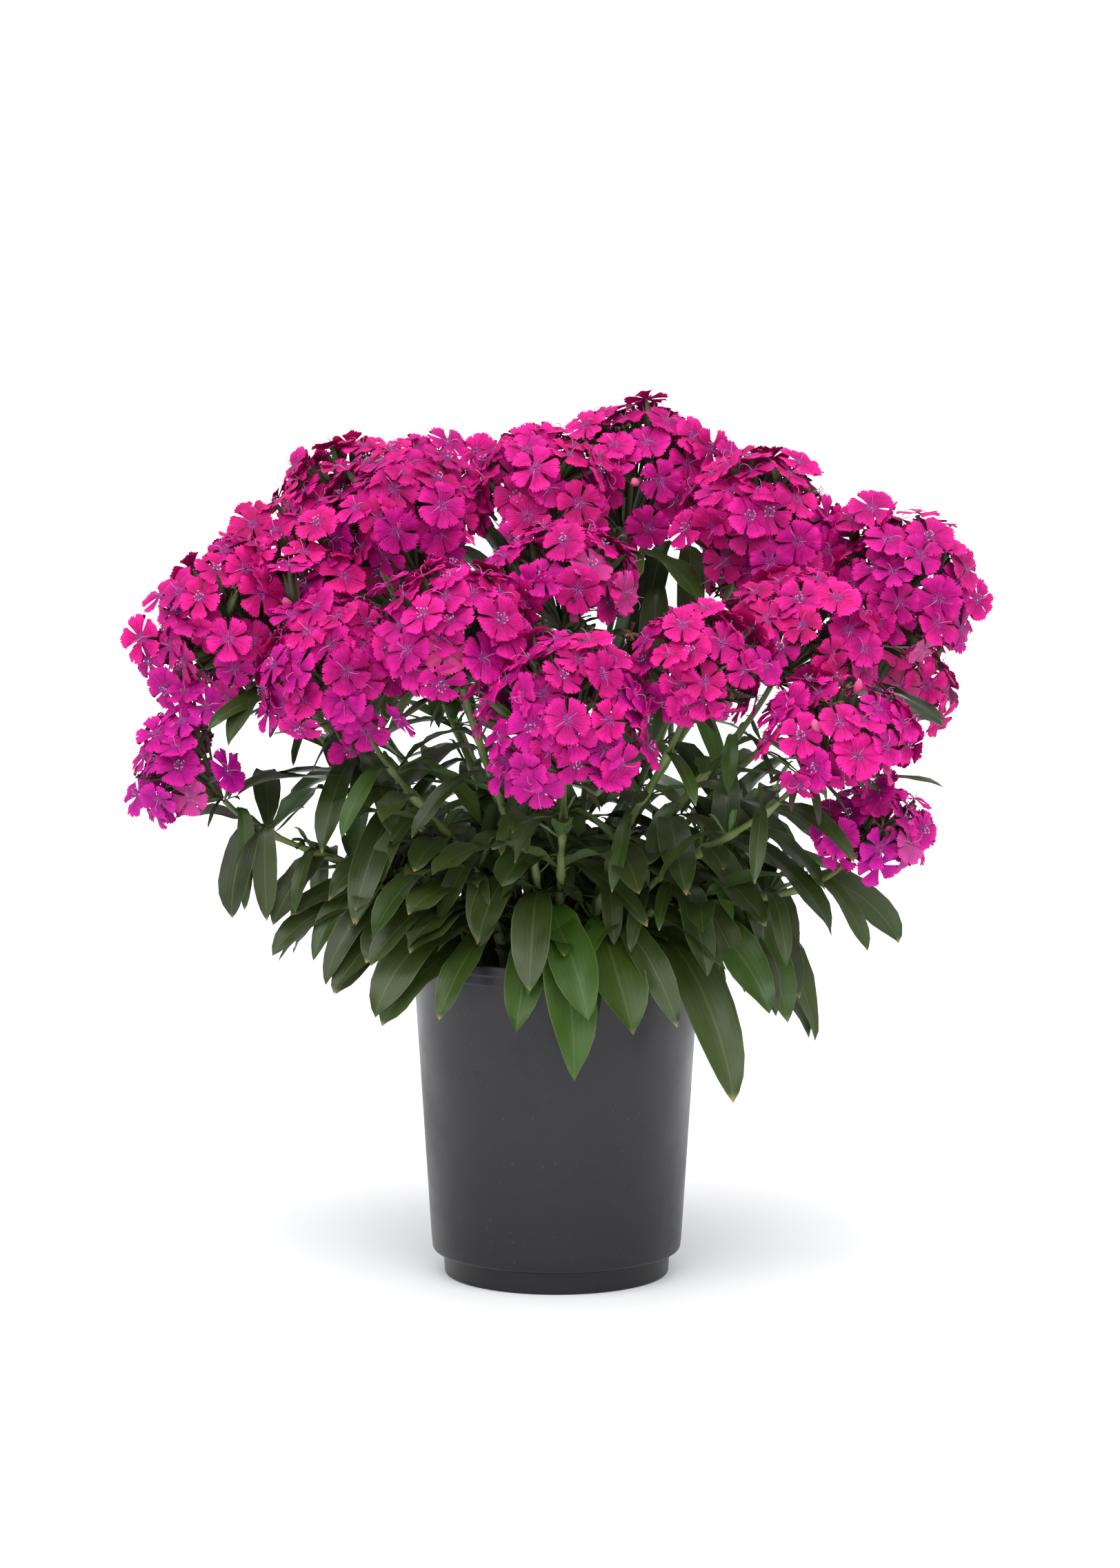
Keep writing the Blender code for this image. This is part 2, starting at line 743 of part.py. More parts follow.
def core_shape(name):
    """The core that the florets stand out of, flat where it meets the cup of its stem."""
    center, reach, _ = head_sizes(name)
    axis = head_axis(name)
    turn = axis.to_track_quat("Z", "Y").to_matrix()
    points = [center + Vector(a * b for a, b in zip(axis, reach)) * CORE_SHARE]
    for level, shift in CORE_RINGS:
        for side in range(CORE_SIDES):
            around = math.tau * (side + shift) / CORE_SIDES
            way = Vector((
                math.sin(level) * math.cos(around),
                math.sin(level) * math.sin(around),
                math.cos(level),
            ))
            way = turn @ way
            points.append(center + Vector(a * b for a, b in zip(way, reach)) * CORE_SHARE)
    neck = head_neck(name)
    for side in range(CORE_SIDES):
        around = math.tau * side / CORE_SIDES
        flat = Vector((math.cos(around), math.sin(around), 0.0)) * CUP_RADIUS
        points.append(neck + turn @ flat)
    faces = []
    for side in range(CORE_SIDES):
        after = (side + 1) % CORE_SIDES
        faces.append((0, 1 + side, 1 + after))
        for ring in range(len(CORE_RINGS)):
            high = 1 + ring * CORE_SIDES
            low = high + CORE_SIDES
            faces.append((low + side, low + after, high + after, high + side))
    last = 1 + len(CORE_RINGS) * CORE_SIDES
    faces.append(tuple(last + side for side in reversed(range(CORE_SIDES))))
    return points, triangles(faces)


def grow_head(name, blockers):
    """The core and the florets of one head. A floret that meets another head sits deeper."""
    center, reach, radius = head_sizes(name)
    core = core_shape(name)
    shapes = [core]
    trees = [blocker(*core)]
    for way in floret_ways(name):
        facing = Vector(a / b for a, b in zip(way, reach)).normalized()
        surface = Vector(a * b for a, b in zip(way, reach))
        for sink in FLORET_SINKS:
            middle = center + surface * (1.0 - sink) - facing * FLORET_SETBACK
            size = radius * (1.0 - FLORET_SINK_SHRINK * sink)
            test = floret_shape(center, middle, facing, size, FLORET_CLEARANCE)
            if is_clear(test, blockers):
                break
        else:
            continue
        shape = floret_shape(center, middle, facing, size)
        shapes.append(shape)
        trees.append(blocker(*shape))
    return shapes, trees


# The soil

def make_soil(places, finish):
    """The plug of soil, low at its edge, with a plain hole for each stem and shoot."""
    draw = random.Random(SEED)
    inset = WALL + SOIL_SLACK
    profile = [
        (0.0, FLOOR + GAP),
        (FOOT_RADIUS - inset - 0.9 * MM, FLOOR + GAP),
        (FOOT_RADIUS - inset, FOOT_HEIGHT + 2.4 * MM),
        (WALL_FOOT_RADIUS - inset, WALL_FOOT_HEIGHT + 1.0 * MM),
        (wall_radius(SOIL_TOP) - inset - SOIL_SLACK, SOIL_TOP - SOIL_EDGE),
        (CROWN_LIMIT + 8 * MM, SOIL_TOP - SOIL_SHOULDER),
        (0.0, SOIL_TOP),
    ]
    points, faces = turned(profile, SOIL_SIDES)
    shoulder = 1 + (len(profile) - 3) * SOIL_SIDES
    for number in range(shoulder, shoulder + SOIL_SIDES):
        x, y, z = points[number]
        points[number] = (x, y, z + draw.uniform(-SOIL_RIPPLE, SOIL_RIPPLE))
    soil = add_mesh("soil", points, faces)
    soil.data.materials.append(finish)
    holes = bpy.data.meshes.new("stem_holes")
    cutters = bpy.data.objects.new("stem_holes", holes)
    bpy.context.scene.collection.objects.link(cutters)
    shape = bmesh.new()
    depth = SOIL_TOP + 10 * MM - HOLE_FLOOR
    for place in places.values():
        middle = Vector((place.x, place.y, HOLE_FLOOR + 0.5 * depth))
        bmesh.ops.create_cone(
            shape, cap_ends=True, segments=HOLE_SIDES, radius1=HOLE_RADIUS,
            radius2=HOLE_RADIUS, depth=depth, matrix=Matrix.Translation(middle),
        )
    shape.to_mesh(holes)
    shape.free()
    cut = soil.modifiers.new("holes", "BOOLEAN")
    cut.operation = "DIFFERENCE"
    cut.object = cutters
    cut.solver = "EXACT"
    bpy.context.view_layer.objects.active = soil
    bpy.ops.object.modifier_apply(modifier="holes")
    bpy.data.objects.remove(cutters)
    return points, faces


def main():
    for item in list(bpy.data.objects):
        bpy.data.objects.remove(item)
    plastic = material("black_plastic", (0.022, 0.022, 0.024), 0.42)
    earth = material("potting_soil", (0.06, 0.042, 0.03), 0.95)
    petals = material("magenta_petals", (0.66, 0.004, 0.24), 0.6)
    green = material("green_leaf", (0.055, 0.13, 0.04), 0.5)

    pot_tree = blocker(*make_pot(plastic))
    places = crown_places()
    soil_tree = blocker(*make_soil(places, earth))

    head_trees = {}
    for name in HEADS:
        others = [tree for trees in head_trees.values() for tree in trees]
        shapes, head_trees[name] = grow_head(name, others)
        join_pieces("head_" + name, shapes, petals)

    routes = {}
    stem_trees = {}
    stem_shapes = {}
    for name in ["stem_" + n for n in HEADS] + ["shoot_" + n for n in SHOOTS]:
        cup = name.startswith("stem_")
        blockers = [pot_tree] + list(stem_trees.values())
        for other, trees in head_trees.items():
            blockers += trees[1:] if name == "stem_" + other else trees
        routes[name] = clear_route(name, places[name], blockers)
        stem_shapes[name] = stem_shape(places[name], routes[name], cup)
        stem_trees[name] = blocker(*stem_shapes[name])

    leaf_trees = []
    every_head = [tree for trees in head_trees.values() for tree in trees]
    for name in ["shoot_" + n for n in SHOOTS] + ["stem_" + n for n in HEADS]:
        blockers = [pot_tree, soil_tree] + every_head + leaf_trees
        blockers += [tree for other, tree in stem_trees.items() if other != name]
        grown = grow_leaves(leaves_of(name, routes[name]), blockers)
        leaf_trees += [blocker(*shape) for shape in grown]
        join_pieces(name, [stem_shapes[name]] + grown, green)


main()
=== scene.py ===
"""The looks of a potted dianthus: magenta flower heads, leafy stems, soil and a black pot.

Metres, +Z up. The origin is the centre of the pot's base and -Y is the front of the plant. Each
flower head, each leafy stem, the soil and the pot is one piece, and stands for its own node.
"""

import math
import random

import bmesh
import bpy
import numpy as np
from mathutils import Matrix, Vector, noise
from mathutils.kdtree import KDTree


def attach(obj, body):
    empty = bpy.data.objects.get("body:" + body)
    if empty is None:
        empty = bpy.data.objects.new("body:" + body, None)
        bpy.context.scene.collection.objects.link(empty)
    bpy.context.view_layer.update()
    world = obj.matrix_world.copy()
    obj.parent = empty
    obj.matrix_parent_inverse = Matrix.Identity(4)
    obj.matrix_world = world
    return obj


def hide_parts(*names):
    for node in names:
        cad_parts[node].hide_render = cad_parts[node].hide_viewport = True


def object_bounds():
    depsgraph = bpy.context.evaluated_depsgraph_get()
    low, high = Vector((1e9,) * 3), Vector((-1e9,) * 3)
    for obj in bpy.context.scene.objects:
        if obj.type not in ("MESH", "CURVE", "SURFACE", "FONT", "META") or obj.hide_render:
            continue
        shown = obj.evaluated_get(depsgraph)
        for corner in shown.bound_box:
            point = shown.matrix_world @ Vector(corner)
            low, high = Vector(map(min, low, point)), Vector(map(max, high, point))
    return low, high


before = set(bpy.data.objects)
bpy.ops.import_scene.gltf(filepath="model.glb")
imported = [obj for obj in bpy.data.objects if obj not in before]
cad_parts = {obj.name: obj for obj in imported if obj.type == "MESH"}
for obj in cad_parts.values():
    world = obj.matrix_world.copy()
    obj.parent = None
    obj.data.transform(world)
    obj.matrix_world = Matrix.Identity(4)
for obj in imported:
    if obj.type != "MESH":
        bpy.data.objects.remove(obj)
cad_low, cad_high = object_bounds()

MM = 0.001
UP = Vector((0.0, 0.0, 1.0))
GAP = 0.3 * MM
GOLDEN_ANGLE = math.pi * (3.0 - math.sqrt(5.0))

# The layout of the plant, the same as in the solids

STEM_STRAIGHT_TOP = 182 * MM
STEM_RISE = 0.34
STEM_ENTRY = 0.36
STEM_RING_SHARES = (0.0, 0.2, 0.42, 0.64)
STEM_RING_COUNT = 6
SHOOT_LAST_RING = 0.86
STEM_FOOT_RADIUS = 2.2 * MM
STEM_TOP_RADIUS = 1.6 * MM
BEND_REACHES = (6 * MM, 12 * MM, 20 * MM)
BEND_WAYS = 8
CUP_LENGTH = 13 * MM
HOLE_FLOOR = 150 * MM
HEAD_TILT = math.radians(40)
HEAD_TILT_REACH = 200 * MM
HEAD_TILT_LIMIT = 1.2
HEAD_SPREAD = math.radians(113)
CORE_NECK = 0.8

# How a leaf leaves its stem and comes to its tip: a number, and what it gains as the leaf drops
LEAF_OUT = (0.8, -0.2)
LEAF_UP = (0.35, 0.3)
LEAF_OVER = (0.3, 0.25)
LEAF_BACK = (0.34, -0.4)
LEAF_START = 0.42
LEAF_END = 0.5
BLADE_TURN = 0.9
BLADE_TURN_LIMIT = -0.3

# Where a leaf of the solids may have gone to keep clear of others
LEAF_TURNS = (0, 1, -1, 2, -2, 3, -3)
LEAF_TURN_STEP = math.radians(14)
LEAF_LIFTS = (0, 1, -1, 2)
LEAF_LIFT_STEP = 7 * MM
LEAF_SCALES = (1.0, 0.75, 0.5)

# The leaf pairs of a stem without a list of leaves: share of the stem's length, length and width
STEM_PAIRS = ((0.32, 74 * MM, 20 * MM), (0.56, 62 * MM, 16 * MM))
PAIR_DROOP = (-1.1, -0.3)
PAIR_STRETCH = (0.85, 1.15)
PAIR_SWAY = 0.3
SEED = 41

# Each head: centre (x, y, z), half width and half height in millimetres
HEADS = {
    "far_left": (-180, -30, 381, 44, 51),
    "left": (-122, -84, 357, 45, 45),
    "upper_left": (-86, -18, 434, 49, 45),
    "upper_left_back": (-118, 82, 435, 45, 37),
    "top_left": (-9, -10, 450, 42, 38),
    "top": (45, 72, 451, 48, 45),
    "upper_right": (113, 0, 430, 45, 43),
    "far_right": (196, -8, 389, 43, 51),
    "middle": (4, -80, 407, 42, 35),
    "middle_left": (-58, -124, 383, 45, 42),
    "front": (5, -156, 340, 47, 51),
    "front_right": (79, -142, 367, 37, 37),
    "right": (134, -78, 376, 45, 39),
    "low_right": (150, -150, 330, 46, 35),
    "lowest_right": (175, -102, 272, 33, 25),
    "low_left": (-205, -46, 300, 33, 38),
    "back_left": (-92, 140, 386, 46, 39),
    "back": (12, 162, 404, 48, 42),
    "back_right": (124, 128, 388, 46, 41),
    "low_back_left": (-168, 104, 336, 42, 36),
    "low_back_right": (192, 98, 328, 42, 36),
    "lowest_back_left": (-118, 184, 320, 42, 36),
    "lowest_back": (-26, 208, 320, 44, 38),
    "lowest_back_right": (76, 200, 324, 44, 38),
}

# Where each short shoot ends, in millimetres
SHOOTS = {
    "front": (-13, -62, 254),
    "front_right": (32, -66, 250),
    "front_left": (-46, -60, 244),
    "left": (-92, -36, 238),
    "right_front": (74, -56, 248),
    "right": (112, -22, 244),
    "back_right": (78, 84, 236),
    "back": (4, 104, 230),
    "back_left": (-76, 82, 236),
}

# Leaves of the solids placed one by one: share of the stem's length, tip (x, y, z) and width
LEAVES = {
    "shoot_front": (
        (0.5, 9, -103, 131, 28), (0.34, -23, -104, 158, 21), (0.42, 18, -114, 167, 25),
        (0.62, -15, -118, 184, 22), (0.95, -30, -92, 238, 20), (0.92, 30, -112, 214, 18),
        (0.6, -4, -8, 258, 17),
    ),
    "shoot_front_right": (
        (0.34, 41, -106, 157, 29), (0.42, 67, -100, 160, 17), (0.6, 80, -108, 190, 17),
        (0.95, 73, -101, 234, 24), (0.85, 38, -18, 262, 17),
    ),
    "shoot_front_left": (
        (0.95, -84, -84, 242, 18), (0.8, -82, -88, 221, 19), (0.58, -81, -92, 200, 21),
        (0.3, -66, -92, 163, 18), (0.92, -43, -96, 206, 13), (0.16, -98, -74, 156, 25),
        (0.62, -22, -24, 262, 16),
    ),
    "shoot_left": (
        (0.95, -112, -76, 222, 14), (0.6, -106, -66, 190, 23), (0.42, -124, -52, 170, 23),
        (0.66, -158, -44, 190, 20), (0.8, -148, -22, 212, 18), (0.9, -92, 18, 258, 16),
    ),
    "shoot_right_front": (
        (0.95, 62, -104, 252, 16), (0.72, 72, -100, 176, 18), (0.5, 119, -90, 166, 24),
        (0.22, 98, -80, 114, 27), (0.88, 122, -74, 214, 18),
    ),
    "shoot_right": (
        (0.95, 114, -64, 212, 17), (0.66, 130, -64, 156, 23), (0.48, 136, -32, 166, 18),
        (0.28, 143, -36, 142, 20), (0.9, 168, -6, 226, 18), (0.8, 104, 34, 262, 17),
    ),
    "shoot_back_right": (
        (0.95, 122, 108, 208, 21), (0.62, 84, 136, 176, 23), (0.34, 116, 62, 166, 20),
        (0.8, 52, 112, 240, 17),
    ),
    "shoot_back": (
        (0.95, -22, 142, 206, 21), (0.9, 38, 140, 210, 20), (0.52, 10, 142, 156, 25),
        (0.3, -34, 112, 170, 20),
    ),
    "shoot_back_left": (
        (0.95, -122, 104, 210, 20), (0.62, -82, 136, 174, 23), (0.34, -118, 58, 166, 20),
        (0.8, -46, 112, 238, 17),
    ),
    "stem_low_left": (
        (0.84, -182, -56, 214, 18), (0.84, -214, -10, 262, 14), (0.62, -159, -44, 208, 17),
        (0.45, -139, -50, 186, 18), (0.62, -140, 30, 226, 16),
    ),
    "stem_far_left": (
        (0.55, -180, -56, 284, 17), (0.55, -96, 14, 268, 15), (0.76, -126, -62, 300, 14),
        (0.38, -128, -66, 226, 18),
    ),
    "stem_left": (
        (0.42, -112, -72, 214, 20), (0.42, -56, -8, 256, 15), (0.7, -96, -108, 276, 15),
        (0.72, -134, -36, 268, 14),
    ),
    "stem_middle_left": (
        (0.4, -78, -82, 244, 20), (0.62, -88, -84, 300, 14), (0.66, -28, -126, 292, 14),
    ),
    "stem_front": (
        (0.5, -36, -108, 262, 15), (0.5, 40, -118, 256, 15), (0.78, -24, -146, 276, 11),
    ),
    "stem_front_right": (
        (0.42, 86, -96, 238, 19), (0.66, 40, -122, 286, 15), (0.66, 96, -98, 290, 14),
    ),
    "stem_right": ((0.4, 134, -44, 232, 19), (0.68, 86, -66, 304, 14), (0.66, 148, -72, 286, 15)),
    "stem_low_right": (
        (0.6, 152, -104, 212, 20), (0.58, 92, -112, 250, 15), (0.84, 168, -136, 260, 13),
    ),
    "stem_lowest_right": (
        (0.78, 190, -68, 202, 22), (0.52, 132, -94, 214, 18), (0.54, 142, -26, 246, 16),
    ),
    "stem_top": (
        (0.32, 76, 8, 236, 20), (0.32, -42, 62, 228, 20), (0.56, 46, -22, 292, 16),
        (0.56, 2, 94, 288, 16),
    ),
    "stem_far_right": (
        (0.82, 219, 0, 314, 16), (0.78, 150, -44, 304, 14), (0.46, 146, -44, 258, 18),
        (0.46, 128, 24, 234, 18),
    ),
}

# Leaves and stems, as they look

LEAF_TIP_MATCH = 0.25 * MM
SHARP_EDGE = math.radians(60)
SMALL_LEAF = 45 * MM
LEAF_RIPPLE = 0.07
LEAF_WAVES = (1.6, 3.2)
LEAF_TWIST = 0.5
LEAF_HOOK = 0.05
LEAF_BOW = 0.03
LEAF_CHANNEL = 0.22
LEAF_HALF_THICKNESS = 0.35 * MM
LEAF_RIB = 0.16
LEAF_GROOVE = 0.25 * MM
LEAF_GROOVE_WIDTH = 0.12
LEAF_WIDEN = 1.06
LEAF_FRESH = 0.4
LOW_LEAF_HEIGHT = 180 * MM
LOW_LEAF_FRESH = 0.65
POT_CLEAR_RADIUS = 86 * MM
POT_INSIDE_RADIUS = 78 * MM
POT_MARGIN = 3 * MM
STEM_JOINTS = (0.14, 0.32, 0.45, 0.56, 0.68, 0.82)
SHOOT_JOINTS = (0.2, 0.42, 0.62, 0.8, 0.97)
JOINT_NEAR = 0.05
JOINT_SWELL = 0.9 * MM
JOINT_LENGTH = 4 * MM
JOINT_GLOW_LENGTH = 6 * MM
EXTRA_LENGTH = (44 * MM, 78 * MM)
EXTRA_WIDTH = (0.17, 0.27)
EXTRA_DROOP = (-1.3, 0.4)
EXTRA_SWAY = 0.4
TUFT_LEAVES = 2
TUFT_LENGTH = (10 * MM, 26 * MM)
TUFT_WIDTH = (0.1, 0.2)
TUFT_RISE = (0.2, 1.4)
STEM_RINGS = 30
STEM_SIDES = 8
SHOOT_TAPER = ((0.85, 1.0), (1.0, 0.35))

# Flowers, as they look

FLOWER_SIZE = 13.8 * MM
FLOWER_STRETCH = (0.86, 1.06)
FLOWER_SINK = (0.0, 0.2)
FULL_HEAD = 44 * MM
HEAD_ROOT_RISE = 1.5 * MM
FRONT_DENSITY = 1.63
BACK_DENSITY = 1.15
BACK_START = 90
NEIGHBOUR_ROOM = 0.84
FACING_LIFT = 0.28
FACING_WANDER = 0.5
LOOSE_FACING = np.array([0.0, -0.9, 0.0])
OLD_SHARE = 0.985
OLD_AGE = (0.15, 0.4)
SPENT_SHARE = 0.03
SPENT_DEPTH = 3 * MM
SPENT_CALYX_DEPTH = 4 * MM
BUD_SHARE = 0.015
BUD_DEPTH = 6 * MM
BUD_CALYX_DEPTH = 5 * MM
TONE_SPREAD = (-0.65, 0.55)
PURPLE_SPREAD = 0.3
# Painted shade: flowers low on a head are made darker and more purple, as they look in the shade
# under the head
LOW_PAINTED_SHADE_PURPLE = 0.2
LOW_PAINTED_SHADE = 0.3
PETAL_SLOT, THREAD_SLOT, CALYX_SLOT, SPENT_SLOT = range(4)
PETALS = 5
PETAL_START = 0.4 * MM
PETAL_LENGTH = (0.9, 1.05)
PETAL_WIDTH = (0.46, 0.6)
PETAL_STRETCH = (0.9, 1.06)
PETAL_TURN = 0.08
PETAL_TONE = 0.15
PETAL_CLAW = 0.2
PETAL_ROUND = 0.18
PETAL_TOOTH = 0.175
PETAL_RIPPLE = 0.8 * MM
PETAL_FOLD = 0.15
PETAL_THICKNESS = 0.17 * MM
PETAL_CUP = (-0.12, 0.26)
PETAL_SWAY = 0.2
PETAL_LEAN = (0.02, 0.09)
OLD_CRUMPLE = 0.25
THREAD_SIDES = 3
STAMENS = 8
STAMEN_SHARE = 0.22
STAMEN_REACH = (0.1, 0.26)
STAMEN_RISE = (0.1, 0.3)
STAMEN_RADII = (0.16 * MM, 0.12 * MM)
ANTHER_LENGTH = 1.3 * MM
ANTHER_RADII = (0.12 * MM, 0.38 * MM, 0.12 * MM)
STYLE_POINTS = 8
STYLE_LENGTH = (0.55, 1.0)
STYLE_CURL = (1.8, 4.6)
STYLE_LEAN = (0.1, 0.7)
STYLE_DEPTH = 0.1
STYLE_RADII = (0.26 * MM, 0.14 * MM)
THREAD_TINT = (0.35, 0.08, 0.3)
ANTHER_TINT = (0.5, 0.32, 0.48)
STYLE_TINT = (0.42, 0.11, 0.3)
CALYX_DEPTH = 1.2 * MM
CALYX_LENGTH = 16 * MM
CALYX_STRETCH = (0.85, 1.1)
CALYX_SHARES = np.array([0.0, 0.1, 0.4, 0.75, 1.0])
CALYX_RADII = np.array([1.0, 1.35, 1.9, 2.2, 1.5]) * MM
CALYX_BEND = 0.16
CALYX_SIDES = 5
CALYX_FRESH = 0.8
STALK_RADII = (1.2 * MM, 0.9 * MM, 1.1 * MM)
STALK_SWAY = 1.5 * MM
BRACT_TURN = (2.2, 4.0)
BRACT_START = 1.2
BRACT_REACH = (2.0, 6.0)
BRACT_BOW = (-0.1, 0.14)
BRACT_WIDTH = 1.6 * MM
BRACT_STRETCH = (0.7, 1.3)
BRACT_THICKNESS = 0.18 * MM
SCRAPS = 4
SCRAP_LENGTH = (0.3, 0.55)
SCRAP_WIDTH = (0.1, 0.18)
SCRAP_CUP = (0.6, 1.6)
SCRAP_CRUMPLE = 0.8
BUD_LENGTH = 0.62
BUD_SHARES = np.array([0.0, 0.2, 0.5, 0.8, 1.0])
BUD_RADII = np.array([1.1, 1.9, 2.6, 1.9, 0.3]) * MM
BUD_SIDES = 9
BUD_LEAN = 0.15
BUD_FOLD = 0.16
BUD_AGE = (0.3, 0.9)
FILLER_CALYXES = 10
FILLER_DEPTH = (0.62, 0.82)
FILLER_SPENT = 0.7
HEAD_BRACTS = 10
HEAD_BRACT_REACH = (0.45, 0.85)
HEAD_BRACT_DROP = (-0.5, 0.75)
HEAD_BRACT_DEPTH = 3 * MM
HEAD_BRACT_WIDTH = (2.0 * MM, 5.5 * MM)

# How light (from -1 to 1) and how purple (from 0 to 1) the flowers of a head are
HEAD_TINTS = {
    "far_left": (0.1, 0.3),
    "left": (0.1, 0.4),
    "upper_left": (-0.25, 0.3),
    "top_left": (0.0, 0.3),
    "top": (0.1, 0.3),
    "upper_right": (0.0, 0.3),
    "far_right": (0.1, 0.45),
    "middle": (0.1, 0.4),
    "middle_left": (0.2, 0.4),
    "front": (0.2, 0.45),
    "front_right": (0.3, 0.3),
    "right": (0.1, 0.15),
    "low_right": (0.3, 0.45),
    "lowest_right": (0.3, 0.9),
    "low_left": (0.0, 0.9),
}

# Flowers placed one by one, and spots (x, y, z and radius) that the other flowers leave bare
LOOSE_FLOWERS = {
    "left": (
        (-157, -40, 431), (-140, -60, 421), (-133, -50, 436), (-148, -70, 415), (-126, -50, 415),
        (-118, -60, 408), (-166, -50, 420), (-105, -100, 326), (-115, -90, 315), (-139, -60, 402),
        (-132, -50, 412), (-124, -45, 420), (-150, -70, 395), (-128, -70, 395), (-116, -30, 431),
        (-142, -30, 439), (-157, -20, 444), (-170, -30, 433), (-179, -20, 426), (-187, -25, 421),
        (-173, -10, 434),
    ),
    "upper_left": ((-80, -10, 474), (-61, 0, 477), (-65, -20, 463)),
    "middle": ((12, -118, 407), (42, -110, 382)),
    "front": ((6, -205, 347),),
    "top_left": ((-45, -10, 472), (-34, -20, 475), (-18, -20, 479), (-24, -30, 460)),
    "top": (
        (52, 0, 428), (44, 10, 453), (88, 45, 468), (78, 50, 475), (100, 40, 462), (94, 40, 453),
    ),
    "far_right": ((166, -10, 435), (177, -15, 441), (188, -40, 380)),
    "far_left": (
        (-233, -30, 369), (-229, -30, 356), (-219, -35, 341), (-155, 0, 424), (-145, -15, 417),
        (-138, 0, 427),
    ),
    "low_left": ((-207, -55, 343), (-195, -60, 335)),
    "middle_left": ((-86, -110, 334),),
    "upper_right": (
        (94, -20, 411), (110, -20, 405), (111, 20, 459), (147, 0, 443), (152, -10, 434),
        (158, -10, 424), (152, -20, 417),
    ),
    "lowest_right": ((150, -100, 269), (155, -110, 259)),
}

BARE_SPOTS = {
    "far_left": (-208, -30, 430, 27),
    "low_left": (-186, -44, 328, 30),
    "far_right": (216, -14, 340, 33),
}

# Leaves that the solids leave out: share of the stem's length, tip (x, y, z) and width
LOOSE_LEAVES = {
    "stem_low_left": (
        (0.84, -130, -50, 286, 20), (0.72, -146, -30, 250, 16), (0.45, -136, -50, 189, 14),
        (0.84, -167, 0, 289, 16), (0.84, -163, -45, 211, 14), (0.95, -176, -45, 217, 11),
        (0.45, -127, -50, 180, 11),
    ),
    "stem_far_left": (
        (0.62, -151, 0, 273, 18), (0.5, -113, -75, 214, 19), (0.66, -110, -50, 271, 17),
        (0.76, -128, 0, 304, 16), (0.6, -183, -30, 279, 17), (0.7, -92, -60, 262, 19),
        (0.95, -182, -86, 316, 14), (0.9, -193, -84, 324, 12),
    ),
    "stem_left": (
        (0.5, -79, -85, 245, 18), (0.4, -95, -60, 255, 17), (0.3, -120, 0, 237, 18),
        (0.6, -112, -60, 211, 15),
    ),
    "stem_middle_left": ((0.3, -43, -105, 208, 19),),
    "stem_middle": ((0.75, 22, -80, 380, 16), (0.86, 13, -85, 387, 13)),
    "shoot_left": (
        (0.75, -129, -60, 177, 15), (0.5, -124, -62, 172, 23), (0.9, -159, -20, 225, 16),
        (0.7, -133, 20, 206, 18), (0.8, -154, -20, 182, 11),
    ),
    "shoot_front_left": (
        (0.45, -101, -80, 162, 25), (0.6, -80, -90, 203, 23), (0.9, -96, -30, 191, 18),
        (0.75, -103, -80, 191, 21),
    ),
    "shoot_right": ((0.6, 147, -40, 141, 20), (0.7, 137, -50, 167, 18), (0.9, 133, -40, 185, 18)),
    "shoot_right_front": ((0.6, 121, -75, 162, 22), (0.8, 83, -95, 188, 18)),
    "stem_right": ((0.5, 115, -60, 196, 17), (0.5, 71, -110, 235, 20)),
    "stem_lowest_right": ((0.7, 152, -70, 238, 20),),
    "stem_top_left": (
        (0.82, -60, -30, 416, 15), (0.86, -48, -20, 432, 14), (0.7, -35, -30, 413, 16),
    ),
    "stem_upper_right": ((0.5, 60, 30, 387, 18), (0.7, 76, 30, 415, 16)),
    "stem_top": (
        (0.7, 48, 30, 399, 19), (0.62, 66, 50, 409, 18), (0.8, 36, 30, 423, 15),
        (0.95, 80, -30, 385, 20), (0.95, 38, -24, 390, 20),
    ),
    "stem_far_right": ((0.86, 219, -20, 318, 15),),
    "stem_low_right": ((0.9, 210, -130, 297, 9),),
}

# The pot and the soil, as they look

POT_HEIGHT = 190 * MM
POT_LIP_HEIGHT = 6 * MM
POT_LIP_RADIUS = 82.8 * MM
POT_WALL_TOP_RADIUS = 81.6 * MM
POT_WALL_FOOT_RADIUS = 71.6 * MM
POT_WALL_FOOT_HEIGHT = 21.5 * MM
POT_WALL = 1.6 * MM
POT_FOOT_RADIUS = 64.8 * MM
POT_FOOT_HEIGHT = 13 * MM
POT_FLOOR = 2.4 * MM
POT_BAND_HEIGHT = 5.7 * MM
POT_ROUNDING = 1.2 * MM
POT_SIDES = 144
POT_SHARP_EDGE = math.radians(35)
DRAIN_HOLES = 4
DRAIN_RADIUS = 4.5 * MM
DRAIN_CIRCLE = 48 * MM
DRAIN_SIDES = 24
SOIL_TOP = 176 * MM
SOIL_DIP = 4 * MM
SOIL_SIDES = 72
SOIL_RINGS = 26
SOIL_LUMP_SIZE = 6 * MM
SOIL_LUMP_HEIGHT = 1.3 * MM
CRUMBS = 500
CRUMB_RADIUS = (0.8 * MM, 2.2 * MM)
CRUMB_GRAIN = 1.3 * MM

# The studio and the camera

FLOOR_SIZE = 40.0
WORLD_COLOR = (0.98, 0.99, 1.0, 1.0)
WORLD_LIGHT = 0.73
KEY_LIGHT = 3.9
KEY_SOFTNESS = math.radians(88)
KEY_TURN = (math.radians(26), math.radians(-1), 0.0)
CAMERA_PLACE = (0.002, -3.6, 0.818)
CAMERA_TILT = math.radians(90 - 8.47)
CAMERA_LENS = 147.3
CAMERA_REACH = 200.0


# The layout, worked out as it is for the solids

def bezier(points, share):
    a, b, c, d = points
    rest = 1.0 - share
    return a * rest**3 + b * 3 * rest**2 * share + c * 3 * rest * share**2 + d * share**3


def curve_points(spine, shares):
    return bezier([np.array(point, float) for point in spine], np.asarray(shares, float)[:, None])


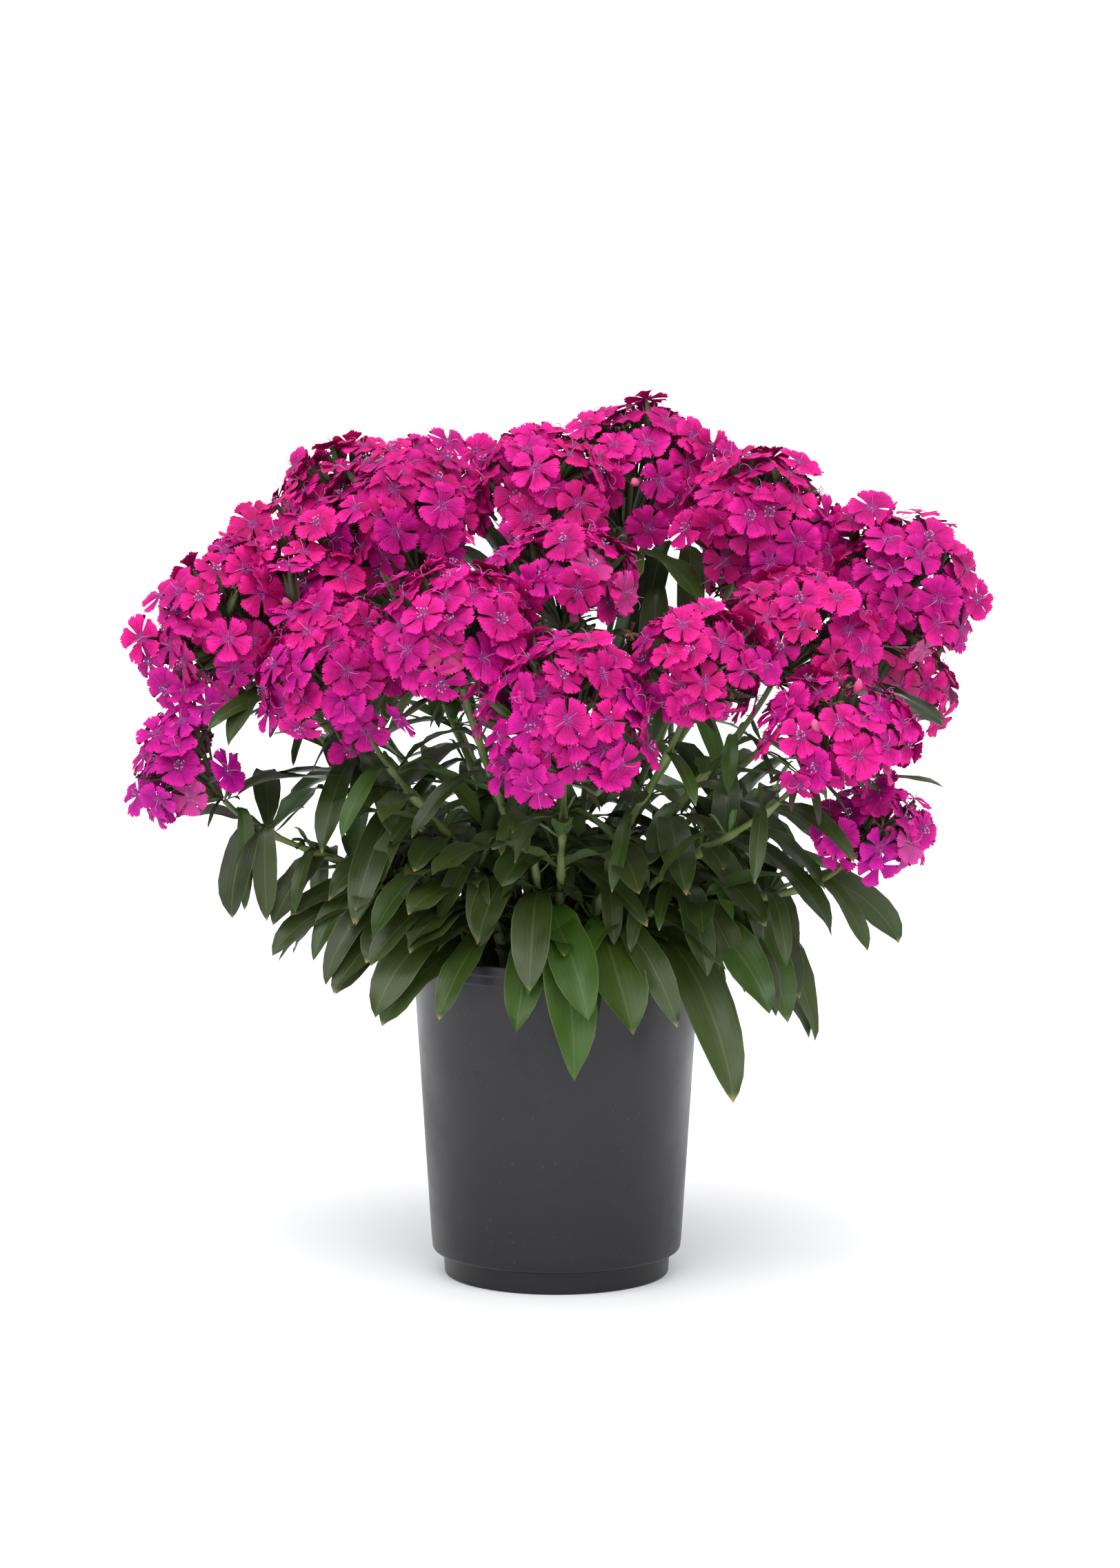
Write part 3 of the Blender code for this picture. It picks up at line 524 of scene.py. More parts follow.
def head_axis(name):
    """The way a head's stem points where it enters the head: up, and out from the plant."""
    x, y, *_ = HEADS[name]
    out = Vector((x * MM, y * MM, 0.0))
    tilt = HEAD_TILT * min(HEAD_TILT_LIMIT, out.length / HEAD_TILT_REACH)
    return out.normalized() * math.sin(tilt) + UP * math.cos(tilt)


def head_neck(name):
    """The place under a head where its stem ends."""
    x, y, z, half_width, half_height = HEADS[name]
    reach = 0.5 * (half_width + half_height) * MM
    return Vector((x, y, z)) * MM - head_axis(name) * reach * CORE_NECK


def moved_by(base, turn, rise, length):
    """The place at a length from the base, on a way with a turn about Z and a rise."""
    return base + Vector((math.cos(turn), math.sin(turn), rise)).normalized() * length


def leaf_spine(base, tip):
    """Four control points, up and out from the stem and over to the tip, and the way out."""
    across = tip - base
    out = Vector((across.x, across.y, 0.0)).normalized()
    drop = max(0.0, -across.z / across.length)
    away, up, over, back = (start + gain * drop for start, gain in (
        LEAF_OUT, LEAF_UP, LEAF_OVER, LEAF_BACK))
    first = base + (out * away + UP * up) * across.length * LEAF_START
    second = tip + (UP * over - out * back) * across.length * LEAF_END
    return (base, first, second, tip), out


def leaf_level(out, tip):
    """The level way across a leaf, whose face turns a little to the front or to the back."""
    front = Vector((0.0, math.copysign(1.0, tip.y), 0.0))
    turned_out = out + front * BLADE_TURN if out.dot(front) > BLADE_TURN_LIMIT else out
    return UP.cross(turned_out).normalized()


def leaf_tips(base, tip):
    for scale in LEAF_SCALES:
        for lift in LEAF_LIFTS:
            for turn in LEAF_TURNS:
                spin = Matrix.Rotation(turn * LEAF_TURN_STEP, 3, "Z")
                yield base + spin @ (tip - base) * scale + UP * lift * LEAF_LIFT_STEP


class Stem:
    """A stem or shoot with the route and the leaves that its solid has."""

    def __init__(self, name):
        self.name = name
        self.head = name.removeprefix("stem_") if name.startswith("stem_") else None
        self.joints = STEM_JOINTS if self.head else SHOOT_JOINTS
        points = [vertex.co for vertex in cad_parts[name].data.vertices]
        self.solid = KDTree(len(points))
        for number, point in enumerate(points):
            self.solid.insert(point, number)
        self.solid.balance()
        buried = {point.xy.to_tuple() for point in points
                  if point.z < SOIL_TOP - SOIL_DIP and point.xy.length < POT_INSIDE_RADIUS}
        self.foot = Vector((*np.mean(sorted(buried), axis=0), STEM_STRAIGHT_TOP))
        if self.head:
            way = head_axis(self.head)
            end = head_neck(self.head) - way * GAP
        else:
            end = Vector(SHOOTS[name.removeprefix("shoot_")]) * MM
            way = (end - self.foot).normalized()
        self.length = (end - self.foot).length
        bends = [Vector((0.0, 0.0, 0.0))]
        for reach in BEND_REACHES:
            for step in range(BEND_WAYS):
                turn = math.tau * step / BEND_WAYS
                bends.append(Vector((math.cos(turn), math.sin(turn), 0.0)) * reach)
        first = self.foot + UP * self.length * STEM_RISE
        second = end - way * self.length * STEM_ENTRY
        routes = [(self.foot, first + bend, second, end) for bend in bends]
        self.route = min(routes, key=self.misfit)

    def misfit(self, route):
        """How far the solid's rings are from where a route would have them."""
        error = 0.0
        for ring, share in enumerate(STEM_RING_SHARES[1:], 2):
            taper = (STEM_TOP_RADIUS - STEM_FOOT_RADIUS) * ring / STEM_RING_COUNT
            for _, _, distance in self.solid.find_n(bezier(route, share), 2):
                error += abs(distance - STEM_FOOT_RADIUS - taper)
        return error

    def point(self, share):
        """The middle of the solid at a share of the route."""
        last = 1.0 - CUP_LENGTH / self.length if self.head else SHOOT_LAST_RING
        shares = (*STEM_RING_SHARES, last, 1.0)
        for low, high in zip(shares, shares[1:]):
            if share <= high:
                part = (share - low) / (high - low)
                return bezier(self.route, low).lerp(bezier(self.route, high), part)

    def leaves(self):
        """The share, base, tip and width of each leaf that the solid has."""
        planned = []
        if self.name in LEAVES:
            for share, x, y, z, width in LEAVES[self.name]:
                tip = Vector((x, y, z)) * MM
                planned.append((share, self.point(share), tip, width * MM))
        else:
            draw = random.Random(f"{SEED}_{self.name}")
            start = draw.uniform(0, math.tau)
            for number, (share, length, width) in enumerate(STEM_PAIRS):
                base = self.point(share)
                stretch = draw.uniform(*PAIR_STRETCH)
                for half in (0, 1):
                    turn = start + (number / 2 + half) * math.pi
                    turn += draw.uniform(-PAIR_SWAY, PAIR_SWAY)
                    tip = moved_by(base, turn, draw.uniform(*PAIR_DROOP), length * stretch)
                    planned.append((share, base, tip, width * stretch))
        found = []
        for share, base, planned_tip, width in planned:
            for tip in leaf_tips(base, planned_tip):
                if self.solid.find(tip)[2] < LEAF_TIP_MATCH:
                    found.append((share, base, tip, width))
                    break
        return found


# Mesh building

def linked(name, data):
    """A new object in the scene."""
    item = bpy.data.objects.new(name, data)
    bpy.context.scene.collection.objects.link(item)
    return item


def dress(piece, node):
    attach(piece, "root")
    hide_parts(node)


class Shapes:
    """Collects closed shapes into one mesh, with two paint values at each of their points."""

    def __init__(self):
        self.points, self.places, self.tints, self.faces, self.slots = [], [], [], [], []
        self.count = 0

    def add(self, points, faces, place, tint, slot=0):
        """place is one value a point, and tint one value for the whole shape."""
        self.points.append(points)
        self.places.append(place)
        self.tints.append(np.broadcast_to(np.asarray(tint, float), (len(points), 3)))
        self.faces.append(faces + self.count)
        self.slots.append(np.full(len(faces), slot))
        self.count += len(points)

    def make(self, name, materials):
        faces = np.concatenate(self.faces).astype(np.int32)
        mesh = bpy.data.meshes.new(name)
        mesh.vertices.add(self.count)
        mesh.loops.add(faces.size)
        mesh.polygons.add(len(faces))
        for items, field, values in (
            (mesh.vertices, "co", np.concatenate(self.points).astype(np.float32)),
            (mesh.loops, "vertex_index", faces),
            (mesh.polygons, "loop_start", np.arange(0, faces.size, 3, dtype=np.int32)),
            (mesh.polygons, "material_index", np.concatenate(self.slots).astype(np.int32)),
        ):
            items.foreach_set(field, values.ravel())
        mesh.update(calc_edges=True)
        for layer, values in (("place", self.places), ("tint", self.tints)):
            attribute = mesh.attributes.new(layer, "FLOAT_VECTOR", "POINT")
            values = np.concatenate(values).astype(np.float32)
            attribute.data.foreach_set("vector", values.ravel())
        for finish in materials:
            mesh.materials.append(finish)
        mesh.shade_smooth()
        mesh.set_sharp_from_angle(angle=SHARP_EDGE)
        return linked(name, mesh)


class Sheet:
    """A thin closed sheet: rows of points from its base to its tip, on both faces.

    across runs from -1 to 1, along from 0 to 1, and side is 1 on the upper face, -1 on the lower
    one and 0 on the rim, which the two faces share. under is how many points a row has between
    its rims on the lower face, where that is fewer than on the upper one.
    """

    def __init__(self, rows, under=None):
        place, grids = [], ([], [])

        def point(*values):
            place.append(values)
            return len(place) - 1

        for number, (height, values) in enumerate(rows):
            ends = number in (0, len(rows) - 1)
            levels = [0 if ends or spot in (0, len(values) - 1) else 1
                      for spot in range(len(values))]
            upper = [(v, point(v, height, level)) for v, level in zip(values, levels)]
            inner = values[1:-1] if under is None else spread(under + 2)[1:-1]
            lower = [upper[0]] + [(v, point(v, height, -1)) for v in inner if not ends]
            grids[0].append(upper)
            grids[1].append(upper if ends else lower + [upper[-1]])
        faces = []
        for grid, order in zip(grids, (1, -1)):
            for low, high in zip(grid, grid[1:]):
                for corners in stitched([v for v, _ in low], [v for v, _ in high]):
                    face = [(low, high)[row][spot][1] for row, spot in corners]
                    faces.append(face[::order])
        self.place = np.array(place, float)
        self.across, self.along, self.side = self.place.T
        self.faces = np.array(faces, int)
        self.outer = self.along == rows[-1][0]


def stitched(low, high):
    """Triangles between two rows of points, which may hold different numbers of points."""
    i = j = 0
    while i < len(low) - 1 or j < len(high) - 1:
        next_low = low[i + 1] if i < len(low) - 1 else math.inf
        next_high = high[j + 1] if j < len(high) - 1 else math.inf
        if next_low <= next_high:
            yield (0, i), (0, i + 1), (1, j)
            i += 1
        else:
            yield (0, i), (1, j + 1), (1, j)
            j += 1


def spread(count):
    return np.linspace(-1.0, 1.0, count)


def unit(vectors):
    return vectors / np.maximum(np.linalg.norm(vectors, axis=-1, keepdims=True), 1e-12)


def tube(centers, radii, sides):
    """A closed round tube. Its places say how far around and along it each point is."""
    centers = np.asarray(centers, float)
    ways = unit(np.gradient(centers, axis=0))
    start = np.array([1.0, 0.0, 0.0]) if abs(ways[0][0]) < 0.9 else np.array([0.0, 1.0, 0.0])
    across = []
    for way in ways:
        start = unit(start - way * way.dot(start))
        across.append(start)
    across = np.array(across)
    turns = np.arange(sides) * math.tau / sides
    ring = (
        across[:, None, :] * np.cos(turns)[None, :, None]
        + np.cross(ways, across)[:, None, :] * np.sin(turns)[None, :, None]
    )
    points = centers[:, None, :] + ring * np.asarray(radii, float)[:, None, None]
    points = np.concatenate([points.reshape(-1, 3), centers[:1], centers[-1:]])
    rings = len(centers)
    step = np.arange(sides)
    after = (step + 1) % sides
    faces = []
    for low in range(0, (rings - 1) * sides, sides):
        high = low + sides
        faces.append(np.stack([low + step, low + after, high + after], 1))
        faces.append(np.stack([low + step, high + after, high + step], 1))
    bottom, top = np.full(sides, rings * sides), (rings - 1) * sides
    faces.append(np.stack([after, step, bottom], 1))
    faces.append(np.stack([top + step, top + after, bottom + 1], 1))
    place = np.zeros((len(points), 3))
    place[:-2, 0] = np.tile(step / sides, rings)
    place[:-2, 1] = np.repeat(np.linspace(0.0, 1.0, rings), sides)
    place[-1, 1] = 1.0
    return points, np.concatenate(faces), place


def square_to(way):
    """A matrix whose columns are two ways square to way, and way itself."""
    way = unit(np.asarray(way, float))
    start = np.array([1.0, 0.0, 0.0]) if abs(way[0]) < 0.8 else np.array([0.0, 1.0, 0.0])
    side = unit(start - way * way.dot(start))
    return np.stack([side, np.cross(way, side), way], 1)


def beside(turn, spin):
    """A way square to the last column of a matrix from square_to, at a spin about it."""
    return turn[:, 0] * math.cos(spin) + turn[:, 1] * math.sin(spin)


def swayed(turn, draw, most):
    """A random small move along the first two columns of a matrix from square_to."""
    return turn[:, 0] * draw.uniform(-most, most) + turn[:, 1] * draw.uniform(-most, most)


def green_tint(draw, fresh):
    """How light, how fresh and how dry a green shape is."""
    return draw.uniform(-1, 1), draw.uniform(0.0, fresh), draw.random()


# Leaves

LEAF_ROWS = (0.0, 0.05, 0.12, 0.2, 0.3, 0.4, 0.5, 0.6, 0.7, 0.79, 0.87, 0.94)
SMALL_LEAF_ROWS = (0.0, 0.1, 0.25, 0.42, 0.6, 0.76, 0.9)
LEAF_SHEET = Sheet([(row, spread(7)) for row in LEAF_ROWS] + [(1.0, [0.0])])
SMALL_LEAF_SHEET = Sheet([(row, spread(5)) for row in SMALL_LEAF_ROWS] + [(1.0, [0.0])])
LEAF_PROFILE = (
    (0.0, 0.06, 0.14, 0.24, 0.36, 0.48, 0.6, 0.7, 0.8, 0.88, 0.95, 1.0),
    (0.2, 0.24, 0.42, 0.64, 0.86, 0.98, 1.0, 0.94, 0.74, 0.48, 0.2, 0.0),
)


def leaf(shapes, base, tip, width, tint, draw, slot=0):
    """A lance-shaped blade: channelled, waved at its edges and a little twisted."""
    spine, out = leaf_spine(base, tip)
    level = np.array(leaf_level(out, tip), float)
    length = (tip - base).length
    sheet = LEAF_SHEET if length > SMALL_LEAF else SMALL_LEAF_SHEET
    u, v, side = sheet.across, sheet.along, sheet.side
    centers = curve_points(spine, v)
    ways = unit(curve_points(spine, np.minimum(v + 0.02, 1.02)) - centers)
    twist = (draw.uniform(-LEAF_TWIST, LEAF_TWIST) * v)[:, None]
    sides = unit(level - ways * (ways @ level)[:, None])
    turned = sides * np.cos(twist) + np.cross(ways, sides) * np.sin(twist)
    half = 0.5 * width * np.interp(v, *LEAF_PROFILE)
    waves = draw.uniform(*LEAF_WAVES) * math.tau * v
    phase = np.where(u > 0, draw.uniform(0, math.tau), draw.uniform(0, math.tau))
    rise = LEAF_RIPPLE * width * np.sin(waves + phase) * u**2
    rise += draw.uniform(-0.5, 1.0) * LEAF_HOOK * length * v**4
    rise += LEAF_CHANNEL * half * np.abs(u) ** 1.3
    rise += LEAF_HALF_THICKNESS * (0.5 + 0.9 * np.exp(-((u / LEAF_RIB) ** 2))) * side
    rise -= LEAF_GROOVE * np.exp(-((u / LEAF_GROOVE_WIDTH) ** 2)) * (side > 0)
    bow = draw.uniform(-LEAF_BOW, LEAF_BOW) * length * np.sin(math.pi * v)
    points = centers + turned * (u * half + bow)[:, None]
    points += np.cross(ways, turned) * rise[:, None]
    shapes.add(points, sheet.faces, sheet.place, tint, slot)


def inside_heads(points, share, skip=None):
    for name, (x, y, z, half_width, half_height) in HEADS.items():
        scaled = (points / MM - (x, y, z)) / (half_width, half_width, half_height)
        if name != skip and (np.linalg.norm(scaled, axis=1) < share).any():
            return True
    return False


def has_room(points, share, skip=None):
    """Whether points are in the solids' box and clear of the pot, the soil and the heads."""
    radius = np.hypot(points[:, 0], points[:, 1])
    top = np.where(radius > POT_INSIDE_RADIUS, POT_HEIGHT, SOIL_TOP) + POT_MARGIN
    meets_pot = ((radius < POT_CLEAR_RADIUS) & (points[:, 2] < top)).any()
    in_box = (points > np.array(cad_low)).all() and (points < np.array(cad_high)).all()
    return in_box and not meets_pot and not inside_heads(points, share, skip)


def extra_leaves(shapes, stem, taken, draw):
    """Leaf pairs at the joints of a stem where its solid has none, and tufts of small leaves."""
    start = draw.uniform(0, math.tau)
    for number, share in enumerate(stem.joints):
        base = stem.point(share)
        crowded = sum(abs(share - other) < JOINT_NEAR for other in taken) > 1
        for half in (0, 1):
            turn = start + (number / 2 + half) * math.pi + draw.uniform(-EXTRA_SWAY, EXTRA_SWAY)
            length = draw.uniform(*EXTRA_LENGTH) * (1.1 - 0.4 * share)
            width = length * draw.uniform(*EXTRA_WIDTH)
            tip = moved_by(base, turn, draw.uniform(*EXTRA_DROOP), length)
            tint = green_tint(draw, 1.0)
            test = curve_points(leaf_spine(base, tip)[0], (0.3, 0.5, 0.7, 0.85, 1.0))
            if not crowded and has_room(test, 1.0):
                leaf(shapes, base, tip, width, tint, draw)
        for _ in range(TUFT_LEAVES):
            turn = draw.uniform(0, math.tau)
            length = draw.uniform(*TUFT_LENGTH)
            tip = moved_by(base, turn, draw.uniform(*TUFT_RISE), length)
            tint = (draw.uniform(-0.2, 1), draw.uniform(0.3, 1), draw.random())
            if has_room(np.array([tip, (tip + base) * 0.5]), 0.95, stem.head):
                leaf(shapes, base, tip, length * draw.uniform(*TUFT_WIDTH), tint, draw)


def stem_piece(name, materials):
    """A stem or shoot: its tube with swollen joints, and its leaves."""
    draw = random.Random(f"{SEED}_fine_{name}")
    stem = Stem(name)
    found = stem.leaves()
    shapes = Shapes()
    shares = np.linspace(0.0, 1.0, STEM_RINGS)
    joints = sorted({round(share, 3) for share, *_ in found} | set(stem.joints))
    apart = (shares[:, None] - joints) * stem.length
    radii = np.interp(shares, (0, 1), (STEM_FOOT_RADIUS, STEM_TOP_RADIUS))
    radii += JOINT_SWELL * np.exp(-((apart / JOINT_LENGTH) ** 2)).sum(1)
    if not stem.head:
        radii *= np.interp(shares, *SHOOT_TAPER)
    glow = np.exp(-((apart / JOINT_GLOW_LENGTH) ** 2)).sum(1)
    feet = [(stem.foot.x, stem.foot.y, z) for z in (
        HOLE_FLOOR + GAP, 0.5 * (HOLE_FLOOR + STEM_STRAIGHT_TOP))]
    centers = np.concatenate([feet, curve_points(stem.route, shares)])
    points, faces, place = tube(centers, [*[STEM_FOOT_RADIUS] * 2, *radii], STEM_SIDES)
    place[:-2, 2] = np.repeat([0.0, 0.0, *glow], STEM_SIDES)
    shapes.add(points, faces, place, (draw.uniform(-1, 1), 0.5, draw.random()), 1)
    for share, base, tip, width in found:
        light, fresh, dry = green_tint(draw, LEAF_FRESH)
        if tip.z < LOW_LEAF_HEIGHT:
            fresh += LOW_LEAF_FRESH * (1.0 - dry)
        leaf(shapes, base, tip, width * LEAF_WIDEN, (light, fresh, dry), draw)
    for share, x, y, z, width in LOOSE_LEAVES.get(name, ()):
        tint = green_tint(draw, LEAF_FRESH)
        leaf(shapes, stem.point(share), Vector((x, y, z)) * MM, width * MM, tint, draw)
    extra_leaves(shapes, stem, [share for share, *_ in found], draw)
    dress(shapes.make(name + "_leafy", materials), name)


# Flowers

PETAL_SHEET = Sheet([
    (0.0, spread(2)), (0.2, spread(3)), (0.42, spread(5)), (0.64, spread(7)),
    (0.78, spread(9)), (1.0, spread(19)),
], under=1)
SCRAP_SHEET = Sheet([(0.0, spread(2)), (0.5, spread(4)), (1.0, spread(7))], under=1)
BRACT_SHEET = Sheet([(row, spread(3)) for row in (0.0, 0.3, 0.65)] + [(1.0, [0.0])])
BRACT_PROFILE = ((0.0, 0.3, 0.65, 1.0), (0.7, 1.0, 0.45, 0.0))


def petal(draw, sheet, length, width, cup, crumple):
    """A fan-shaped petal with a narrow claw and a toothed edge, along +X, in its own frame."""
    u, v, side = sheet.across, sheet.along, sheet.side
    opening = np.clip((v - 0.04) / 0.86, 0, 1) ** 1.15
    half = width * (PETAL_CLAW + (1 - PETAL_CLAW) * opening)
    teeth = sheet.outer * (np.arange(len(u)) % 2) * (0.7 + 0.45 * np.sin(u * 9.7 + length * 9e3))
    reach = length * (v * (1 - PETAL_ROUND * u**2 * v**2) - teeth * PETAL_TOOTH)
    phase, ripple = draw.uniform(0, math.tau), draw.uniform(0.3, 1.0) * PETAL_RIPPLE
    rise = cup * length * (v - 0.75 * v**2) - PETAL_FOLD * half * np.abs(u) ** 1.5
    rise += 0.4 * crumple * length * v**2 * np.sin(u * 5 + phase)
    rise += ripple * np.sin(u * 6.0 + phase) * v**2
    rise += PETAL_THICKNESS * side * (0.35 + 0.65 * v)
    rise += draw.uniform(*PETAL_LEAN) * length * u * v
    return np.stack([reach + PETAL_START, u * half, rise], 1)


def spun(local, spin):
    """Points turned about their own Z axis."""
    c, s = math.cos(spin), math.sin(spin)
    x, y, z = local.T
    return np.stack([x * c - y * s, x * s + y * c, z], 1)


def flower(shapes, center, facing, size, draw, tone, purple, age):
    """Five petals around some stamens or two curled styles."""
    turn = square_to(facing)
    start = draw.uniform(0, math.tau)
    cup = draw.uniform(*PETAL_CUP)
    width = size * draw.uniform(*PETAL_WIDTH)
    for number in range(PETALS):
        spin = start + number * math.tau / PETALS + draw.uniform(-PETAL_TURN, PETAL_TURN)
        length = size * draw.uniform(*PETAL_LENGTH)
        lift = cup + draw.uniform(-PETAL_SWAY, PETAL_SWAY)
        wide = width * draw.uniform(*PETAL_STRETCH)
        local = petal(draw, PETAL_SHEET, length, wide, lift, OLD_CRUMPLE * age)
        points = center + spun(local, spin) @ turn.T
        tint = (tone + draw.uniform(-PETAL_TONE, PETAL_TONE), purple, age)
        shapes.add(points, PETAL_SHEET.faces, PETAL_SHEET.place, tint, PETAL_SLOT)
    inner = stamens if draw.random() < STAMEN_SHARE else styles
    inner(shapes, center, turn, size, draw)


def stamens(shapes, center, turn, size, draw):
    for number in range(STAMENS):
        spin = math.tau * (number + draw.uniform(-0.3, 0.3)) / STAMENS
        out = size * draw.uniform(*STAMEN_REACH)
        high = size * draw.uniform(*STAMEN_RISE)
        way = np.array([math.cos(spin), math.sin(spin), 0.0])
        end = way * out + np.array([0.0, 0.0, high])
        line = center + np.stack([way * out * 0.2, end]) @ turn.T
        shapes.add(*tube(line, STAMEN_RADII, THREAD_SIDES), THREAD_TINT, THREAD_SLOT)
        across = np.array([-way[1], way[0], 0.3]) * ANTHER_LENGTH * 0.5
        anther = center + np.stack([end - across, end, end + across]) @ turn.T
        shapes.add(*tube(anther, ANTHER_RADII, THREAD_SIDES), ANTHER_TINT, THREAD_SLOT)


def styles(shapes, center, turn, size, draw):
    """Two threads that rise from the throat and curl outwards at their ends."""
    start = draw.uniform(0, math.tau)
    steps = np.linspace(0.0, 1.0, STYLE_POINTS)
    for half in (0, 1):
        spin = start + half * draw.uniform(1.6, 3.2)
        stride = size * draw.uniform(*STYLE_LENGTH) / (STYLE_POINTS - 1)
        curl = draw.uniform(*STYLE_CURL)
        angle = (draw.uniform(*STYLE_LEAN) + curl * steps**2.2)[:-1]
        out, high = (np.concatenate([[0.0], np.cumsum(part * stride)])
                     for part in (np.sin(angle), np.cos(angle)))
        high -= STYLE_DEPTH * size
        local = np.stack([math.cos(spin) * out, math.sin(spin) * out, high], 1)
        radii = np.interp(steps, (0, 1), STYLE_RADII)
        line = center + local @ turn.T
        shapes.add(*tube(line, radii, THREAD_SIDES), STYLE_TINT, THREAD_SLOT)


def calyx(shapes, center, facing, root, draw):
    """The green tube behind a flower, its pointed bracts, and its stalk to the head's stem."""
    turn = square_to(facing)
    length = CALYX_LENGTH * draw.uniform(*CALYX_STRETCH)
    bend = unit(root - (center - facing * length)) * length * CALYX_BEND
    line = center - np.outer(length * CALYX_SHARES, facing) + np.outer(CALYX_SHARES**2, bend)
    tint = green_tint(draw, CALYX_FRESH)
    shapes.add(*tube(line, CALYX_RADII, CALYX_SIDES), tint, CALYX_SLOT)
    stalk = np.stack([line[-1], 0.5 * (line[-1] + root), root])
    stalk[1] += swayed(turn, draw, 1) * STALK_SWAY
    shapes.add(*tube(stalk, STALK_RADII, THREAD_SIDES), tint, CALYX_SLOT)
    start = draw.uniform(0, math.tau)
    for number in range(2):
        out = beside(turn, start + number * draw.uniform(*BRACT_TURN)) * MM
        tip = line[1] + out * draw.uniform(*BRACT_REACH)
        width = BRACT_WIDTH * draw.uniform(*BRACT_STRETCH)
        bract(shapes, line[-1] + out * BRACT_START, tip, width, tint, draw)


def bract(shapes, base, tip, width, tint, draw):
    """A narrow pointed green scale."""
    u, v, side = BRACT_SHEET.across, BRACT_SHEET.along, BRACT_SHEET.side
    turn = square_to(tip - base)
    half = width * np.interp(v, *BRACT_PROFILE)
    bow = np.linalg.norm(tip - base) * draw.uniform(*BRACT_BOW) * np.sin(math.pi * v)
    rise = bow + BRACT_THICKNESS * side + 0.2 * half * u**2
    points = base + np.outer(v, tip - base) + np.outer(u * half, turn[:, 0])
    points += np.outer(rise, turn[:, 1])
    shapes.add(points, BRACT_SHEET.faces, BRACT_SHEET.place, tint, CALYX_SLOT)


def spent_flower(shapes, center, facing, size, draw):
    """A shrivelled brown flower: a few crumpled scraps of petal."""
    turn = square_to(facing)
    for number in range(SCRAPS):
        spin = number * math.tau / SCRAPS + draw.uniform(-0.5, 0.5)
        length, width = (size * draw.uniform(*share) for share in (SCRAP_LENGTH, SCRAP_WIDTH))
        local = petal(draw, SCRAP_SHEET, length, width, draw.uniform(*SCRAP_CUP), SCRAP_CRUMPLE)
        points = center + spun(local, spin) @ turn.T
        tint = (draw.uniform(-1, 1), 0, draw.random())
        shapes.add(points, SCRAP_SHEET.faces, SCRAP_SHEET.place, tint, SPENT_SLOT)


def bud(shapes, center, facing, size, draw, tone, purple):
    """A closed flower: rolled petals that come out of their tube in a twisted point."""
    line = (facing + swayed(square_to(facing), draw, BUD_LEAN)) * size * BUD_LENGTH
    points, faces, place = tube(center + np.outer(BUD_SHARES, line), BUD_RADII, BUD_SIDES)
    around, along, _ = place.T
    folds = 1.0 + BUD_FOLD * np.sin(around * math.tau * 3 + along * 5.0)
    axis = center + np.outer(along, line)
    points = axis + (points - axis) * folds[:, None]
    place = np.stack([around * 2 - 1, 0.4 + 0.5 * along, np.ones(len(points))], 1)
    shapes.add(points, faces, place, (tone, purple, draw.uniform(*BUD_AGE)), PETAL_SLOT)


